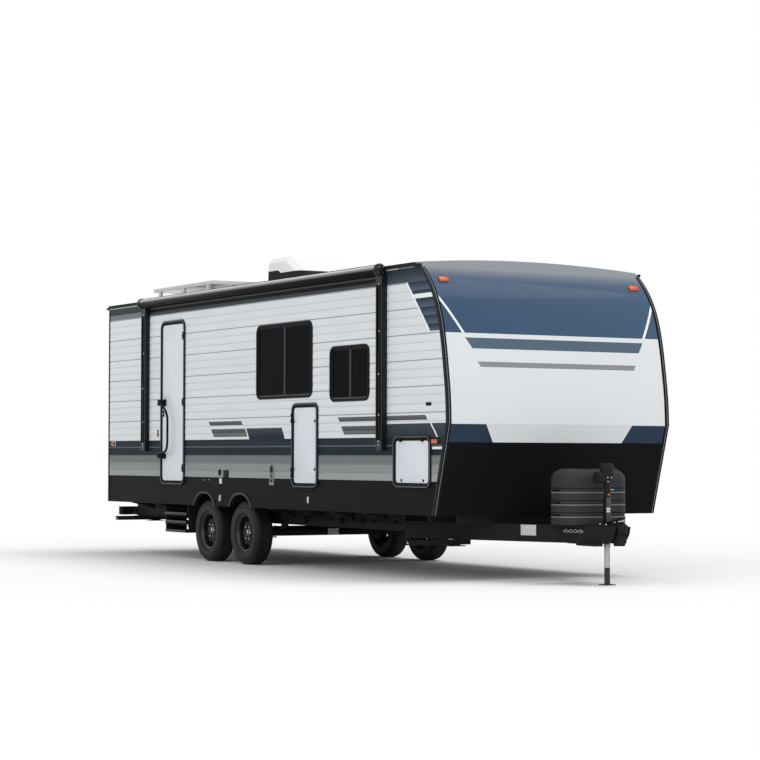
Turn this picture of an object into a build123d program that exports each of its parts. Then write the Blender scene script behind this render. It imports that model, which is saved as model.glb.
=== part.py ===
from build123d import *
import os
from math import atan2, cos, degrees, radians, sin

# Travel caravan, millimetres, +X towards the hitch, +Z up, ground at z = 0.
# The door side is at negative y. In this file x is measured from the rear wall's
# outer face, and every piece is moved back by half the overall length at export.

# Body shell
BODY_WIDTH = 2438.0
BODY_BASE = 600.0
WALL_TOP = 2860.0
ROOF_EDGE = 2905.0
ROOF_CROWN = 60.0
WALL = 40.0
ROOF_FRONT_BACK = 523.0
NOSE_AHEAD = 1128.0
NOSE_Z = 1430.0
NOSE_BASE_BACK = 245.0
BROW_SLOPE = 37.0
BROW_BACK = 200.0
BROW_CUT_HEIGHT = 300.0
BROW_DOWN = 381.0
CHEEK_BACK = 42.0
CHEEK_UP = 467.0
FLOOR_THICKNESS = 80.0
FLOOR_LIFT = 20.0
SEAT = 0.3

# Running gear
TYRE_RADIUS = 331.5
TYRE_WIDTH = 205.0
TREAD_HALF = 78.0
TYRE_BULGE = 12.0
BEAD_INSET = 22.0
RIM_RADIUS = 188.0
RIM_WIDTH = 152.0
RIM_WALL = 6.0
RIM_FLANGE = 14.0
RIM_DROP = 22.0
DISC_THICKNESS = 8.0
DISC_OFFSET = 24.0
DISC_BULGE = 14.0
DISC_SLOTS = 8
DISC_SLOT_RADIUS = 19.0
DISC_SLOT_CIRCLE = 128.0
HUB_RADIUS = 48.0
HUB_CAP_RADIUS = 34.0
HUB_CAP_LENGTH = 44.0
WHEEL_INSET = 139.0
AXLE_AHEAD = 520.0
AXLE_SPACING = 870.0
AXLE_TUBE_RADIUS = 38.0
SPINDLE_RADIUS = 22.0
SPINDLE_PLAY = 0.08
SPINDLE_DEPTH = 70.0
DRUM_RADIUS = 128.0
DRUM_WIDTH = 62.0
DRUM_CLEARANCE = 40.0
DRUM_PLAY = 0.5
BACKPLATE_THICKNESS = 6.0
SPRING_HALF = 330.0
SPRING_STEP = 90.0
SPRING_LEAF = 8.0
SPRING_LEAVES = 3
SPRING_WIDTH = 44.0
HANGER_LENGTH = 70.0
HANGER_OVERLAP = 2.0

# Wheel arches and liners
ARCH_HALF_BASE = 285.0
ARCH_HALF_TOP = 165.0
ARCH_TOP = 731.0
ARCH_ROUND = 240.0
ARCH_TRIM_WIDTH = 22.0
ARCH_TRIM_PROUD = 8.0
LINER_TOP = 790.0
LINER_CLEARANCE = 47.5
LINER_WALL = 5.0
LINER_MARGIN = 320.0

# Chassis
RAIL_INSET = 220.0
RAIL_BOTTOM = 430.0
RAIL_FLANGE = 64.0
RAIL_WEB = 6.0
RAIL_FRONT_BACK = 1338.0
CROSSMEMBER_HEIGHT = 95.0
CROSSMEMBER_WIDTH = 50.0
CROSSMEMBER_REAR_X = (70.0, 1150.0, 2080.0, 4050.0, 5050.0)
CROSSMEMBER_FRONT_BACK = (1578.0, 878.0, 378.0)
CROSSMEMBER_PAST_RAIL = 20.0
OUTRIGGER_REAR_X = (600.0, 1250.0)
OUTRIGGER_FRONT_X = 4050.0
OUTRIGGER_SPACING = 650.0
OUTRIGGER_END_BACK = 200.0
OUTRIGGER_WIDTH = 40.0
OUTRIGGER_TIP = 25.0
BUMPER_SIZE = 96.0
BUMPER_REACH = 150.0
BUMPER_BOTTOM = 438.0
BUMPER_INSET = 199.0
BUMPER_WALL = 4.0
BUMPER_ARM_HALF = 20.0
BUMPER_ARM_INSET = 8.0

# Tongue
TONGUE_BEAM_HEIGHT = 158.0
TONGUE_BEAM_WIDTH = 50.0
TONGUE_BOTTOM = 367.0
TONGUE_LAP = 40.0
TONGUE_REACH = 984.0
TONGUE_FRONT_Y = 62.0
CROSSBAR_BACK = (490.0, 170.0)
CROSSBAR_WIDTH = 50.0
CROSSBAR_INSET = 15.0
NOSE_PLATE_REACH = 110.0
NOSE_PLATE_THICKNESS = 14.0
COUPLER_LENGTH = 182.0
BALL_BACK = 52.0
BALL_SOCKET_RADIUS = 29.7
BALL_SOCKET_DEPTH = 25.0
COUPLER_WIDTH = 96.0
COUPLER_HEIGHT = 74.0
COUPLER_LIFT = 14.0
LATCH_LENGTH = 118.0
LATCH_HEIGHT = 34.0
LATCH_WIDTH = 28.0
LATCH_INSET = 20.0

# Tongue jack
JACK_BACK = 92.0
JACK_TUBE_RADIUS = 30.0
JACK_TUBE_BOTTOM = 335.0
JACK_TUBE_TOP = 900.0
JACK_HEAD_TOP = 1076.0
JACK_HEAD_RADIUS = 66.0
JACK_HEAD_LENGTH = 150.0
JACK_HEAD_ROUND = 52.0
JACK_MOTOR_RADIUS = 50.0
JACK_MOTOR_REACH = 118.0
JACK_MOTOR_DROP = 122.0
JACK_SLEEVE_RADIUS = 34.0
JACK_SLEEVE_TOP = 780.0
JACK_LEG_RADIUS = 25.5
JACK_PLAY = 0.08
JACK_LEG_TOP = 560.0
JACK_FOOT = 110.0
JACK_FOOT_THICKNESS = 8.0
JACK_FLANGE = 130.0
JACK_FLANGE_THICKNESS = 10.0

# Gas bottle cover
COVER_BACK = 288.0
COVER_LENGTH = 340.0
COVER_WIDTH = 694.0
COVER_TOP = 1030.0
COVER_WALL = 6.0
COVER_CORNER = 130.0
COVER_TOP_ROUND = 95.0
COVER_GROOVES = (600.0, 708.0, 818.0)
COVER_GROOVE_HEIGHT = 16.0
COVER_GROOVE_DEPTH = 4.0
COVER_CAP_RADIUS = 75.0
COVER_CAP_HEIGHT = 10.0
TRAY_THICKNESS = 8.0
TRAY_RIM = 8.0

# Openings in the door-side wall: rear x, front x, bottom z, top z, corner radius
ENTRY_DOOR = (1530.0, 2100.0, 850.0, 2610.0, 60.0)
LARGE_WINDOW = (3895.0, 5070.0, 1740.0, 2455.0, 60.0)
SMALL_WINDOW = (5475.0, 6205.0, 1685.0, 2175.0, 60.0)
TALL_HATCH = (4700.0, 5185.0, 855.0, 1630.0, 45.0)
BAGGAGE_DOOR_AHEAD = 215.0
BAGGAGE_DOOR_BACK = 308.0
BAGGAGE_DOOR_Z = (880.0, 1290.0)
BAGGAGE_DOOR_CORNER = 45.0

# Openings in the off-side wall and the rear wall
OFF_REAR_WINDOW = (900.0, 1650.0, 1685.0, 2175.0, 60.0)
OFF_MIDDLE_WINDOW = (4200.0, 5375.0, 1740.0, 2455.0, 60.0)
REAR_WINDOW = (-380.0, 380.0, 1740.0, 2300.0, 60.0)

# Frames, leaves and glass
FRAME_FACE = 25.0
FRAME_PROUD = 14.0
FRAME_SLEEVE = 14.0
LEAF_GAP = 5.0
LEAF_PROUD = 10.0
LEAF_THICKNESS = 40.0
GLASS_THICKNESS = 5.0
GLASS_DEPTH = 8.0
MULLION = 26.0

# Hinges of the leaves: a pin held by the frame and a knuckle on the leaf
HINGE_AXIS_OUT = 26.0
HINGE_AXIS_ASIDE = 12.0
HINGE_RADIUS = 8.0
HINGE_PIN = 4.0
HINGE_PLAY = 0.08
HINGE_END_PLAY = 0.5
HINGE_LENGTH = 84.0
HINGE_STRAP = 58.0
HINGE_PLATE = 4.0
DOOR_HINGE_INSET = 150.0
THREE_HINGES_ABOVE = 1000.0
HATCH_HINGE_INSET = 110.0

# Grab handle on the entry door
HANDLE_BAR_X = 1712.0
HANDLE_ROOT_X = 1600.0
HANDLE_LOW = 1190.0
HANDLE_HIGH = 1700.0
HANDLE_RADIUS = 13.0
HANDLE_STANDOFF = 52.0
HANDLE_BEND = 55.0
HANDLE_SLANT = 150.0
HANDLE_BLOCK_LENGTH = 80.0
HANDLE_BLOCK_HEIGHT = 70.0
HANDLE_BLOCK_OVER = 14.0

# Awning
AWNING_REAR_ARM_X = 1115.0
AWNING_FRONT_ARM_X = 6500.0
AWNING_ARM_WIDTH = 110.0
AWNING_ARM_DEPTH = 62.0
AWNING_CHANNEL_WALL = 12.0
AWNING_CHANNEL_DEPTH = 20.0
AWNING_CHANNEL_LIP = 90.0
AWNING_HEAD_RADIUS = 60.0
AWNING_HEAD_LENGTH = 46.0
AWNING_ARM_BOTTOM = 1190.0
AWNING_TUBE_RADIUS = 48.0
AWNING_TUBE_Z = 2870.0
AWNING_TUBE_OUT = 66.0

# Roof equipment
AC_X = 2750.0
AC_LENGTH = 860.0
AC_WIDTH = 660.0
AC_BASE_HEIGHT = 75.0
AC_BASE_INSET = 28.0
AC_HEIGHT = 290.0
AC_EDGE = 55.0
SOLAR_REAR_X = 650.0
SOLAR_LENGTH = 1580.0
SOLAR_WIDTH = 680.0
SOLAR_INSET = 279.0
SOLAR_LIFT = 75.0
SOLAR_THICKNESS = 35.0
SOLAR_FOOT_INSET = 150.0
SOLAR_FOOT_EDGE = 20.0
SOLAR_FOOT_LENGTH = 50.0
SOLAR_FOOT_WIDTH = 30.0
VENT_X = 4600.0
VENT_Y = 300.0
VENT_SIZE = 420.0
VENT_WALL = 25.0
VENT_LID_OVERHANG = 15.0
VENT_HEIGHT = 60.0
VENT_LID_THICKNESS = 30.0
VENT_LID_EDGE = 14.0

# Gutters and corner mouldings
MOULDING_FACE = 26.0
MOULDING_PROUD = 6.0
GUTTER_HEIGHT = 34.0
GUTTER_PROUD = 16.0
GUTTER_WALL = 4.0
GUTTER_FLOOR = 12.0
GUTTER_STOP = 30.0
GUTTER_END_BACK = 40.0
SPOUT_LENGTH = 110.0
SPOUT_HEIGHT = 26.0
SPOUT_DROP = 10.0

# Lamps
MARKER_INSET = 157.0
MARKER_Z = 2734.0
MARKER_RADIUS = 34.0
MARKER_PROUD = 22.0
SIDE_MARKER_BACK = 205.0
SIDE_MARKER_Z = 1269.0
REAR_MARKER = (153.0, 1277.0)
TAIL_LAMP_INSET = 269.0
TAIL_LAMP_Z = 1060.0
TAIL_LAMP_WIDTH = 90.0
TAIL_LAMP_HEIGHT = 240.0
LAMP_PROUD = 24.0
SIDE_LAMP_LENGTH = 96.0
SIDE_LAMP_HEIGHT = 40.0
TOP_LAMP_LENGTH = 80.0
TOP_LAMP_SPACING = 120.0

# Entry steps, folded below the door
STEP_REAR_PAST = 30.0
STEP_FRONT_SHORT = 20.0
STEP_BRACKET_TOP = 600.0
STEP_BRACKET_DEPTH = 280.0
STEP_INSET = 44.0
STEP_TREAD_DEPTH = 230.0
STEP_TREAD_THICKNESS = 25.0
STEP_SHEET = 3.0
STEP_LEVELS = ("upper", "middle", "lower")
STEP_ARM = 135.0
STEP_ARM_THICKNESS = 5.0
STEP_ARM_WIDTH = 26.0
STEP_ARM_STOWED = 15.0
STEP_CHEEK_THICKNESS = 4.0
STEP_CHEEK_GAP = 6.0
STEP_CHEEK_BACK = 20.0
STEP_PIN_RADIUS = 6.0
STEP_PIVOT_Z = 560.0
STEP_PIVOT_IN = 45.0
STEP_STACK = 92.0
STEP_TREAD_DROP = 28.0

# Stabilisers
STABILISER_REAR_X = 200.0
STABILISER_FRONT_BACK = 728.0
STABILISER_INSET = 24.0
STABILISER_LENGTH = 650.0
STABILISER_WIDTH = 84.0
STABILISER_HEIGHT = 46.0
STABILISER_WALL = 4.0
LEG_END_GAP = 105.0
LEG_WIDTH = 50.0
LEG_THICKNESS = 26.0
LEG_PIVOT_IN = 30.0
LEG_PIN_RADIUS = 6.0
FOOT_LENGTH = 160.0
FOOT_WIDTH = 150.0
FOOT_THICKNESS = 8.0
FOOT_GAP = 6.0

# Reach of cutting tools, well past the vehicle
BEYOND = 12000.0
PAST = 50.0

HALF = BODY_WIDTH / 2
INNER = HALF - WALL
NOSE_X = AWNING_FRONT_ARM_X + NOSE_AHEAD
NOSE_BASE_X = NOSE_X - NOSE_BASE_BACK
ROOF_FRONT_X = NOSE_X - ROOF_FRONT_BACK
COUPLER_TIP_X = NOSE_X + TONGUE_REACH
MID_X = (COUPLER_TIP_X - BUMPER_REACH) / 2
REAR_AXLE_X = ENTRY_DOOR[1] + AXLE_AHEAD
AXLES = (REAR_AXLE_X, REAR_AXLE_X + AXLE_SPACING)
TONGUE_TOP = TONGUE_BOTTOM + TONGUE_BEAM_HEIGHT
RAIL_TOP = BODY_BASE + FLOOR_LIFT
WHEEL_Y = HALF - WHEEL_INSET
RAIL_Y = WHEEL_Y - RAIL_INSET
RAIL_FRONT_X = NOSE_X - RAIL_FRONT_BACK
CROSSMEMBER_X = CROSSMEMBER_REAR_X + tuple(NOSE_X - back for back in CROSSMEMBER_FRONT_BACK)
OUTRIGGER_COUNT = int((RAIL_FRONT_X - OUTRIGGER_END_BACK - OUTRIGGER_FRONT_X) / OUTRIGGER_SPACING) + 1
OUTRIGGER_X = OUTRIGGER_REAR_X + tuple(
    OUTRIGGER_FRONT_X + OUTRIGGER_SPACING * number for number in range(OUTRIGGER_COUNT)
)
TONGUE_REAR_X = RAIL_FRONT_X - TONGUE_LAP
TONGUE_FRONT_X = COUPLER_TIP_X - COUPLER_LENGTH
JACK_X = TONGUE_FRONT_X - JACK_BACK
COVER_CENTRE_X = JACK_X - COVER_BACK
CROSSBAR_X = tuple(COVER_CENTRE_X - back for back in CROSSBAR_BACK)
BAGGAGE_DOOR_X = (AWNING_FRONT_ARM_X + BAGGAGE_DOOR_AHEAD, NOSE_X - BAGGAGE_DOOR_BACK)
BAGGAGE_DOOR = (*BAGGAGE_DOOR_X, *BAGGAGE_DOOR_Z, BAGGAGE_DOOR_CORNER)
SOLAR_CENTRE_Y = SOLAR_INSET + SOLAR_WIDTH / 2 - HALF
MARKER_Y = HALF - MARKER_INSET
SIDE_MARKER = (NOSE_X - SIDE_MARKER_BACK, SIDE_MARKER_Z)
TAIL_LAMP_Y = HALF - TAIL_LAMP_INSET
STABILISER_X = (STABILISER_REAR_X, NOSE_X - STABILISER_FRONT_BACK)
STABILISER_OUTER_Y = HALF - STABILISER_INSET
STABILISER_INNER_Y = STABILISER_OUTER_Y - STABILISER_LENGTH
LEG_LENGTH = STABILISER_LENGTH - LEG_END_GAP
LINER_INNER_Y = WHEEL_Y - TYRE_WIDTH / 2 - LINER_CLEARANCE
BALL_X = COUPLER_TIP_X - BALL_BACK
DRUM_BACK = TYRE_WIDTH / 2 + DRUM_CLEARANCE
STEP_X = (ENTRY_DOOR[0] - STEP_REAR_PAST, ENTRY_DOOR[1] - STEP_FRONT_SHORT)
STEP_FRONT_Y = STEP_INSET - HALF


def block(x, y, z):
    """Box between two corners, each axis given as (low, high)."""
    centre = [(low + high) / 2 for low, high in (x, y, z)]
    return Pos(*centre) * Box(x[1] - x[0], y[1] - y[0], z[1] - z[0])


def rod(start, end, radius):
    """Round bar between two points."""
    axis = Vector(*end) - Vector(*start)
    return Solid.make_cylinder(radius, axis.length, Plane(origin=start, z_dir=axis))


def join(pieces):
    """One shape out of several that touch or overlap."""
    whole = pieces[0]
    for piece in pieces[1:]:
        whole = whole + piece
    return whole


def mirrored(shape):
    """Copy on the other side of the vehicle's centreline."""
    return mirror(shape, about=Plane.XZ)


def panel(opening, y, grow=0.0):
    """Round-cornered plate through an opening of a side wall, between two y values."""
    x0, x1, z0, z1, radius = opening
    place = Plane(origin=((x0 + x1) / 2, y[0], (z0 + z1) / 2), x_dir=(1, 0, 0), z_dir=(0, 1, 0))
    outline = RectangleRounded(x1 - x0 + 2 * grow, z1 - z0 + 2 * grow, radius + grow)
    return extrude(place * outline, amount=y[1] - y[0])


def cross_panel(opening, x, grow=0.0):
    """Round-cornered plate through an opening of the rear wall, between two x values."""
    y0, y1, z0, z1, radius = opening
    place = Plane(origin=(x[0], (y0 + y1) / 2, (z0 + z1) / 2), x_dir=(0, 1, 0), z_dir=(1, 0, 0))
    outline = RectangleRounded(y1 - y0 + 2 * grow, z1 - z0 + 2 * grow, radius + grow)
    return extrude(place * outline, amount=x[1] - x[0])


def front_curve(shift=0.0):
    """The curved front from the roof's end down to the foremost point, as x and z."""
    return Spline(
        (ROOF_FRONT_X + shift, ROOF_EDGE), (NOSE_X - BROW_BACK + shift, ROOF_EDGE - BROW_DOWN),
        (NOSE_X - CHEEK_BACK + shift, NOSE_Z + CHEEK_UP), (NOSE_X + shift, NOSE_Z),
        tangents=[(cos(radians(BROW_SLOPE)), -sin(radians(BROW_SLOPE))), (0.02, -1.0)],
    )


def front_point(z):
    """Point of the front curve at a given height, and the outward direction there."""
    curve = front_curve()
    low, high = 0.0, 1.0
    for _ in range(40):
        middle = (low + high) / 2
        if (curve @ middle).Y > z:
            low = middle
        else:
            high = middle
    along = curve % low
    return curve @ low, Vector(-along.Y, along.X, 0)


def side_face(shift=0.0):
    """Side view of the body: flat back and roof, a curved brow and a chin that slants back."""
    front = front_curve(shift)
    rest = Polyline(
        front @ 1, (NOSE_BASE_X + shift, BODY_BASE), (0, BODY_BASE), (0, ROOF_EDGE), front @ 0,
    )
    return make_face([front] + list(rest.edges()))


def body_block(y, shift=0.0):
    """The body's side view extruded between two y values."""
    place = Plane(origin=(0, y[0], 0), x_dir=(1, 0, 0), z_dir=(0, -1, 0))
    return extrude(place * side_face(shift), amount=-(y[1] - y[0]))


def arch(x, y, grow=0.0):
    """Plug of one wheel arch on the door side, between two y values."""
    low = BODY_BASE - PAST
    outline = Polyline(
        (x - ARCH_HALF_BASE - grow, low), (x - ARCH_HALF_TOP - grow, ARCH_TOP + grow),
        (x + ARCH_HALF_TOP + grow, ARCH_TOP + grow), (x + ARCH_HALF_BASE + grow, low), close=True,
    )
    place = Plane(origin=(0, y[0], 0), x_dir=(1, 0, 0), z_dir=(0, -1, 0))
    plug = extrude(place * make_face(outline), amount=-(y[1] - y[0]))
    tops = plug.edges().filter_by(Axis.Y).group_by(Axis.Z)[-1]
    return fillet(tops, ARCH_ROUND + grow)


BELOW_ROOF = block((-BEYOND, BEYOND), (-BODY_WIDTH, BODY_WIDTH), (BODY_BASE - PAST, WALL_TOP))
OUTSIDE = -HALF - FRAME_PROUD
THROUGH = (-HALF - PAST, -INNER + PAST)


def side_wall(openings):
    """One side wall, on the door side, with its openings and wheel arches cut."""
    wall = body_block((-HALF, -INNER)) & BELOW_ROOF
    for opening in openings:
        wall = wall - panel(opening, THROUGH, FRAME_SLEEVE + SEAT)
    for x in AXLES:
        wall = wall - arch(x, THROUGH)
    return wall


def arch_trims():
    """Rolled lips around the wheel arches."""
    shapes = []
    reach = (-HALF - ARCH_TRIM_PROUD, -HALF)
    for x in AXLES:
        trim = arch(x, reach, ARCH_TRIM_WIDTH) - arch(x, THROUGH)
        trim = trim & block((0, BEYOND), reach, (BODY_BASE, WALL_TOP))
        shapes += [trim, mirrored(trim)]
    return shapes


def frame_ring(opening, mullion=False):
    """Outer flange and sleeve of a window or hatch in the door-side wall."""
    flange = panel(opening, (OUTSIDE, -HALF), FRAME_FACE)
    sleeve = panel(opening, (-HALF, -INNER), FRAME_SLEEVE)
    ring = flange + sleeve - panel(opening, THROUGH)
    if mullion:
        middle = (opening[0] + opening[1]) / 2
        x = (middle - MULLION / 2, middle + MULLION / 2)
        ring = ring + block(x, (OUTSIDE, -HALF), (opening[2] - 1, opening[3] + 1))
    return ring


def pane(opening):
    """Glass of one window in the door-side wall."""
    y = -HALF + GLASS_DEPTH
    return panel(opening, (y, y + GLASS_THICKNESS), -SEAT)


def leaf(opening):
    """Hinged leaf that fills a framed opening of the door-side wall."""
    y = OUTSIDE - LEAF_PROUD
    return panel(opening, (y, y + LEAF_THICKNESS), -LEAF_GAP)


def hinge(place, flip=False):
    """Both halves of a hinge: the frame's ends with their pin, and the leaf's knuckle.

    The axis is the local Z, the outside is at negative Y and the leaf at negative X,
    or at positive X when the hinge is flipped.
    """
    end = HINGE_LENGTH / 2
    middle = HINGE_LENGTH / 6
    spans = ((-end, -middle - HINGE_END_PLAY), (middle + HINGE_END_PLAY, end))
    centred = (Align.CENTER, Align.CENTER, Align.MIN)
    fixed = Pos(0, 0, -end) * Cylinder(HINGE_PIN, HINGE_LENGTH, align=centred)
    for low, high in spans:
        fixed = fixed + Pos(0, 0, low) * Cylinder(HINGE_RADIUS, high - low, align=centred)
        fixed = fixed + block((-HINGE_PIN, HINGE_PIN), (0, HINGE_AXIS_OUT - FRAME_PROUD), (low, high))
    face = HINGE_AXIS_OUT - FRAME_PROUD - LEAF_PROUD
    knuckle = Pos(0, 0, -middle) * Cylinder(HINGE_RADIUS, 2 * middle, align=centred)
    knuckle = knuckle + block((-HINGE_STRAP, 0), (face - HINGE_PLATE, face), (-middle, middle))
    knuckle = knuckle - Pos(0, 0, -end) * Cylinder(HINGE_PIN + HINGE_PLAY, HINGE_LENGTH, align=centred)
    halves = [fixed, knuckle]
    if flip:
        halves = [mirror(half, about=Plane.YZ) for half in halves]
    return [place * half for half in halves]


def door_hinges(opening, inset, flip=False):
    """Hinges on an upright edge: in front of the leaf, or behind it when flipped."""
    x0, x1, z0, z1, radius = opening
    x = x0 - HINGE_AXIS_ASIDE if flip else x1 + HINGE_AXIS_ASIDE
    heights = [z0 + inset, z1 - inset]
    if z1 - z0 > THREE_HINGES_ABOVE:
        heights.append((z0 + z1) / 2)
    return [hinge(Pos(x, -HALF - HINGE_AXIS_OUT, z), flip) for z in heights]


def lid_hinges(opening):
    """Hinges along the upper edge of a leaf."""
    x0, x1, z0, z1, radius = opening
    z = z1 + HINGE_AXIS_ASIDE
    places = (x0 + HATCH_HINGE_INSET, x1 - HATCH_HINGE_INSET)
    return [hinge(Pos(x, -HALF - HINGE_AXIS_OUT, z) * Rot(0, -90, 0)) for x in places]


def i_beam(y):
    """One main rail of the chassis."""
    flange = (y - RAIL_FLANGE / 2, y + RAIL_FLANGE / 2)
    web = (y - RAIL_WEB / 2, y + RAIL_WEB / 2)
    x = (WALL, RAIL_FRONT_X)
    return join([
        block(x, flange, (RAIL_BOTTOM, RAIL_BOTTOM + RAIL_WEB)),
        block(x, web, (RAIL_BOTTOM, RAIL_TOP)),
        block(x, flange, (RAIL_TOP - RAIL_WEB, RAIL_TOP)),
    ])


ENTRY_HINGES = door_hinges(ENTRY_DOOR, DOOR_HINGE_INSET)
HATCH_HINGES = door_hinges(TALL_HATCH, HATCH_HINGE_INSET, flip=True)
BAGGAGE_HINGES = lid_hinges(BAGGAGE_DOOR)


def frame_rails():
    return [i_beam(-RAIL_Y), i_beam(RAIL_Y)]


def crossmembers():
    """Cross channels between the rails, or on the A-frame in front of their ends."""
    z = (RAIL_TOP - CROSSMEMBER_HEIGHT, RAIL_TOP)
    half = CROSSMEMBER_WIDTH / 2
    shapes = []
    for x in CROSSMEMBER_X:
        y = RAIL_Y - RAIL_FLANGE / 2 if x < RAIL_FRONT_X else RAIL_Y + CROSSMEMBER_PAST_RAIL
        shapes.append(block((x - half, x + half), (-y, y), z))
    return shapes


def outriggers():
    """Tapered brackets that carry the walls outside the rails."""
    shapes = []
    root = -RAIL_Y - RAIL_FLANGE / 2
    for x in OUTRIGGER_X:
        outline = Polyline(
            (root, RAIL_TOP), (root, RAIL_TOP - CROSSMEMBER_HEIGHT),
            (-INNER, RAIL_TOP - OUTRIGGER_TIP), (-INNER, RAIL_TOP), close=True,
        )
        place = Plane(origin=(x - OUTRIGGER_WIDTH / 2, 0, 0), x_dir=(0, 1, 0), z_dir=(1, 0, 0))
        bracket = extrude(place * make_face(outline), amount=OUTRIGGER_WIDTH)
        shapes += [bracket, mirrored(bracket)]
    return shapes


def rear_bumper():
    """Square tube across the back, on two short arms from the rails."""
    x = (-BUMPER_REACH, -BUMPER_REACH + BUMPER_SIZE)
    z = (BUMPER_BOTTOM, BUMPER_BOTTOM + BUMPER_SIZE)
    half = HALF - BUMPER_INSET
    tube = block(x, (-half, half), z)
    hollow = block(
        (x[0] + BUMPER_WALL, x[1] - BUMPER_WALL), (-half - 1, half + 1),
        (z[0] + BUMPER_WALL, z[1] - BUMPER_WALL),
    )
    tube = tube - hollow
    arm = block(
        (x[1], WALL), (-RAIL_Y - BUMPER_ARM_HALF, -RAIL_Y + BUMPER_ARM_HALF),
        (z[0] + BUMPER_ARM_INSET, z[1] - BUMPER_ARM_INSET),
    )
    return [join([tube, arm, mirrored(arm)])]


def tongue_beam():
    """One beam of the A-frame on the door side, from the rail's end to the coupler."""
    run = Vector(TONGUE_FRONT_X - TONGUE_REAR_X, RAIL_Y - TONGUE_FRONT_Y, 0)
    turn = degrees(atan2(run.Y, run.X))
    beam = Box(
        run.length, TONGUE_BEAM_WIDTH, TONGUE_BEAM_HEIGHT,
        align=(Align.MIN, Align.CENTER, Align.MIN),
    )
    beam = Pos(TONGUE_REAR_X, -RAIL_Y, TONGUE_BOTTOM) * Rot(0, 0, turn) * beam
    return beam - block((0, RAIL_FRONT_X), (-HALF, 0), (0, 2 * RAIL_BOTTOM))


def tongue_beams():
    """Both beams of the A-frame."""
    beam = tongue_beam()
    return [beam, mirrored(beam)]


def between_beams(bar, beam):
    """The middle piece that is left when both beams are cut out of a bar."""
    pieces = (bar - beam - mirrored(beam)).solids()
    return min(pieces, key=lambda piece: abs(piece.center().Y))


def tongue_crossbars():
    """Cross bars and nose plate between the beams, and the tray for the gas bottles."""
    beam = tongue_beam()
    shapes = []
    half = CROSSBAR_WIDTH / 2
    for x in CROSSBAR_X:
        z = (TONGUE_BOTTOM + CROSSBAR_INSET, TONGUE_TOP - CROSSBAR_INSET)
        shapes.append(between_beams(block((x - half, x + half), (-RAIL_Y, RAIL_Y), z), beam))
    x = (JACK_X - NOSE_PLATE_REACH, TONGUE_FRONT_X - SEAT)
    plate = block(x, (-RAIL_Y, RAIL_Y), (TONGUE_TOP - NOSE_PLATE_THICKNESS, TONGUE_TOP))
    plate = between_beams(plate, beam)
    shapes.append(plate - rod((JACK_X, 0, 0), (JACK_X, 0, JACK_TUBE_TOP), JACK_TUBE_RADIUS + SEAT))
    shapes.append(cover_block(-TRAY_RIM, (TONGUE_TOP, TONGUE_TOP + TRAY_THICKNESS)))
    return shapes


def coupler():
    """Ball coupler: a pressed wedge with a round nose, the ball socket and a latch lever."""
    z = (TONGUE_TOP + COUPLER_LIFT - COUPLER_HEIGHT, TONGUE_TOP + COUPLER_LIFT)
    radius = COUPLER_TIP_X - BALL_X
    half = COUPLER_WIDTH / 2
    wedge = block((TONGUE_FRONT_X, BALL_X), (-half, half), z)
    shell = wedge + rod((BALL_X, 0, z[0]), (BALL_X, 0, z[1]), radius)
    shell = fillet(shell.faces().sort_by(Axis.Z)[-1].edges(), COUPLER_LIFT)
    socket_top = z[0] + BALL_SOCKET_DEPTH
    shell = shell - rod((BALL_X, 0, z[0]), (BALL_X, 0, socket_top), BALL_SOCKET_RADIUS)
    shell = shell - Pos(BALL_X, 0, socket_top) * Sphere(BALL_SOCKET_RADIUS - 1)
    start = TONGUE_FRONT_X + LATCH_INSET
    lever = Polyline(
        (start, z[1] - 1), (start + LATCH_LENGTH, z[1] - 1),
        (start + LATCH_LENGTH, z[1] + LATCH_HEIGHT / 2),
        (start + LATCH_LENGTH / 2, z[1] + LATCH_HEIGHT), (start, z[1] + LATCH_HEIGHT / 2), close=True,
    )
    place = Plane(origin=(0, -LATCH_WIDTH / 2, 0), x_dir=(1, 0, 0), z_dir=(0, -1, 0))
    return [shell + extrude(place * make_face(lever), amount=-LATCH_WIDTH)]


def jack_body():
    """Outer tube with its sleeve and flange, and the rounded head with the motor beside it."""
    head_base = JACK_HEAD_TOP - JACK_HEAD_LENGTH
    tube = rod((JACK_X, 0, JACK_TUBE_BOTTOM), (JACK_X, 0, head_base + PAST), JACK_TUBE_RADIUS)
    sleeve = rod((JACK_X, 0, TONGUE_TOP), (JACK_X, 0, JACK_SLEEVE_TOP), JACK_SLEEVE_RADIUS)
    half = JACK_FLANGE / 2
    z = (TONGUE_TOP, TONGUE_TOP + JACK_FLANGE_THICKNESS)
    flange = block((JACK_X - half, JACK_X + half), (-half, half), z)
    head = rod((JACK_X, 0, head_base), (JACK_X, 0, JACK_HEAD_TOP), JACK_HEAD_RADIUS)
    head = fillet(head.edges().filter_by(GeomType.CIRCLE), JACK_HEAD_ROUND)
    motor_z = JACK_HEAD_TOP - JACK_MOTOR_DROP
    motor = rod((JACK_X, 0, motor_z), (JACK_X, -JACK_MOTOR_REACH, motor_z), JACK_MOTOR_RADIUS)
    shell = join([tube, sleeve, flange, head, motor])
    bore = rod(
        (JACK_X, 0, JACK_TUBE_BOTTOM - 1), (JACK_X, 0, JACK_TUBE_TOP),
        JACK_LEG_RADIUS + JACK_PLAY,
    )
    return [shell - bore]


def jack_leg():
    """Inner tube with its drop leg and square foot, out to the ground."""
    leg = rod((JACK_X, 0, JACK_FOOT_THICKNESS), (JACK_X, 0, JACK_LEG_TOP), JACK_LEG_RADIUS)
    half = JACK_FOOT / 2
    foot = block((JACK_X - half, JACK_X + half), (-half, half), (0, JACK_FOOT_THICKNESS))
    return [leg + foot]


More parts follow.
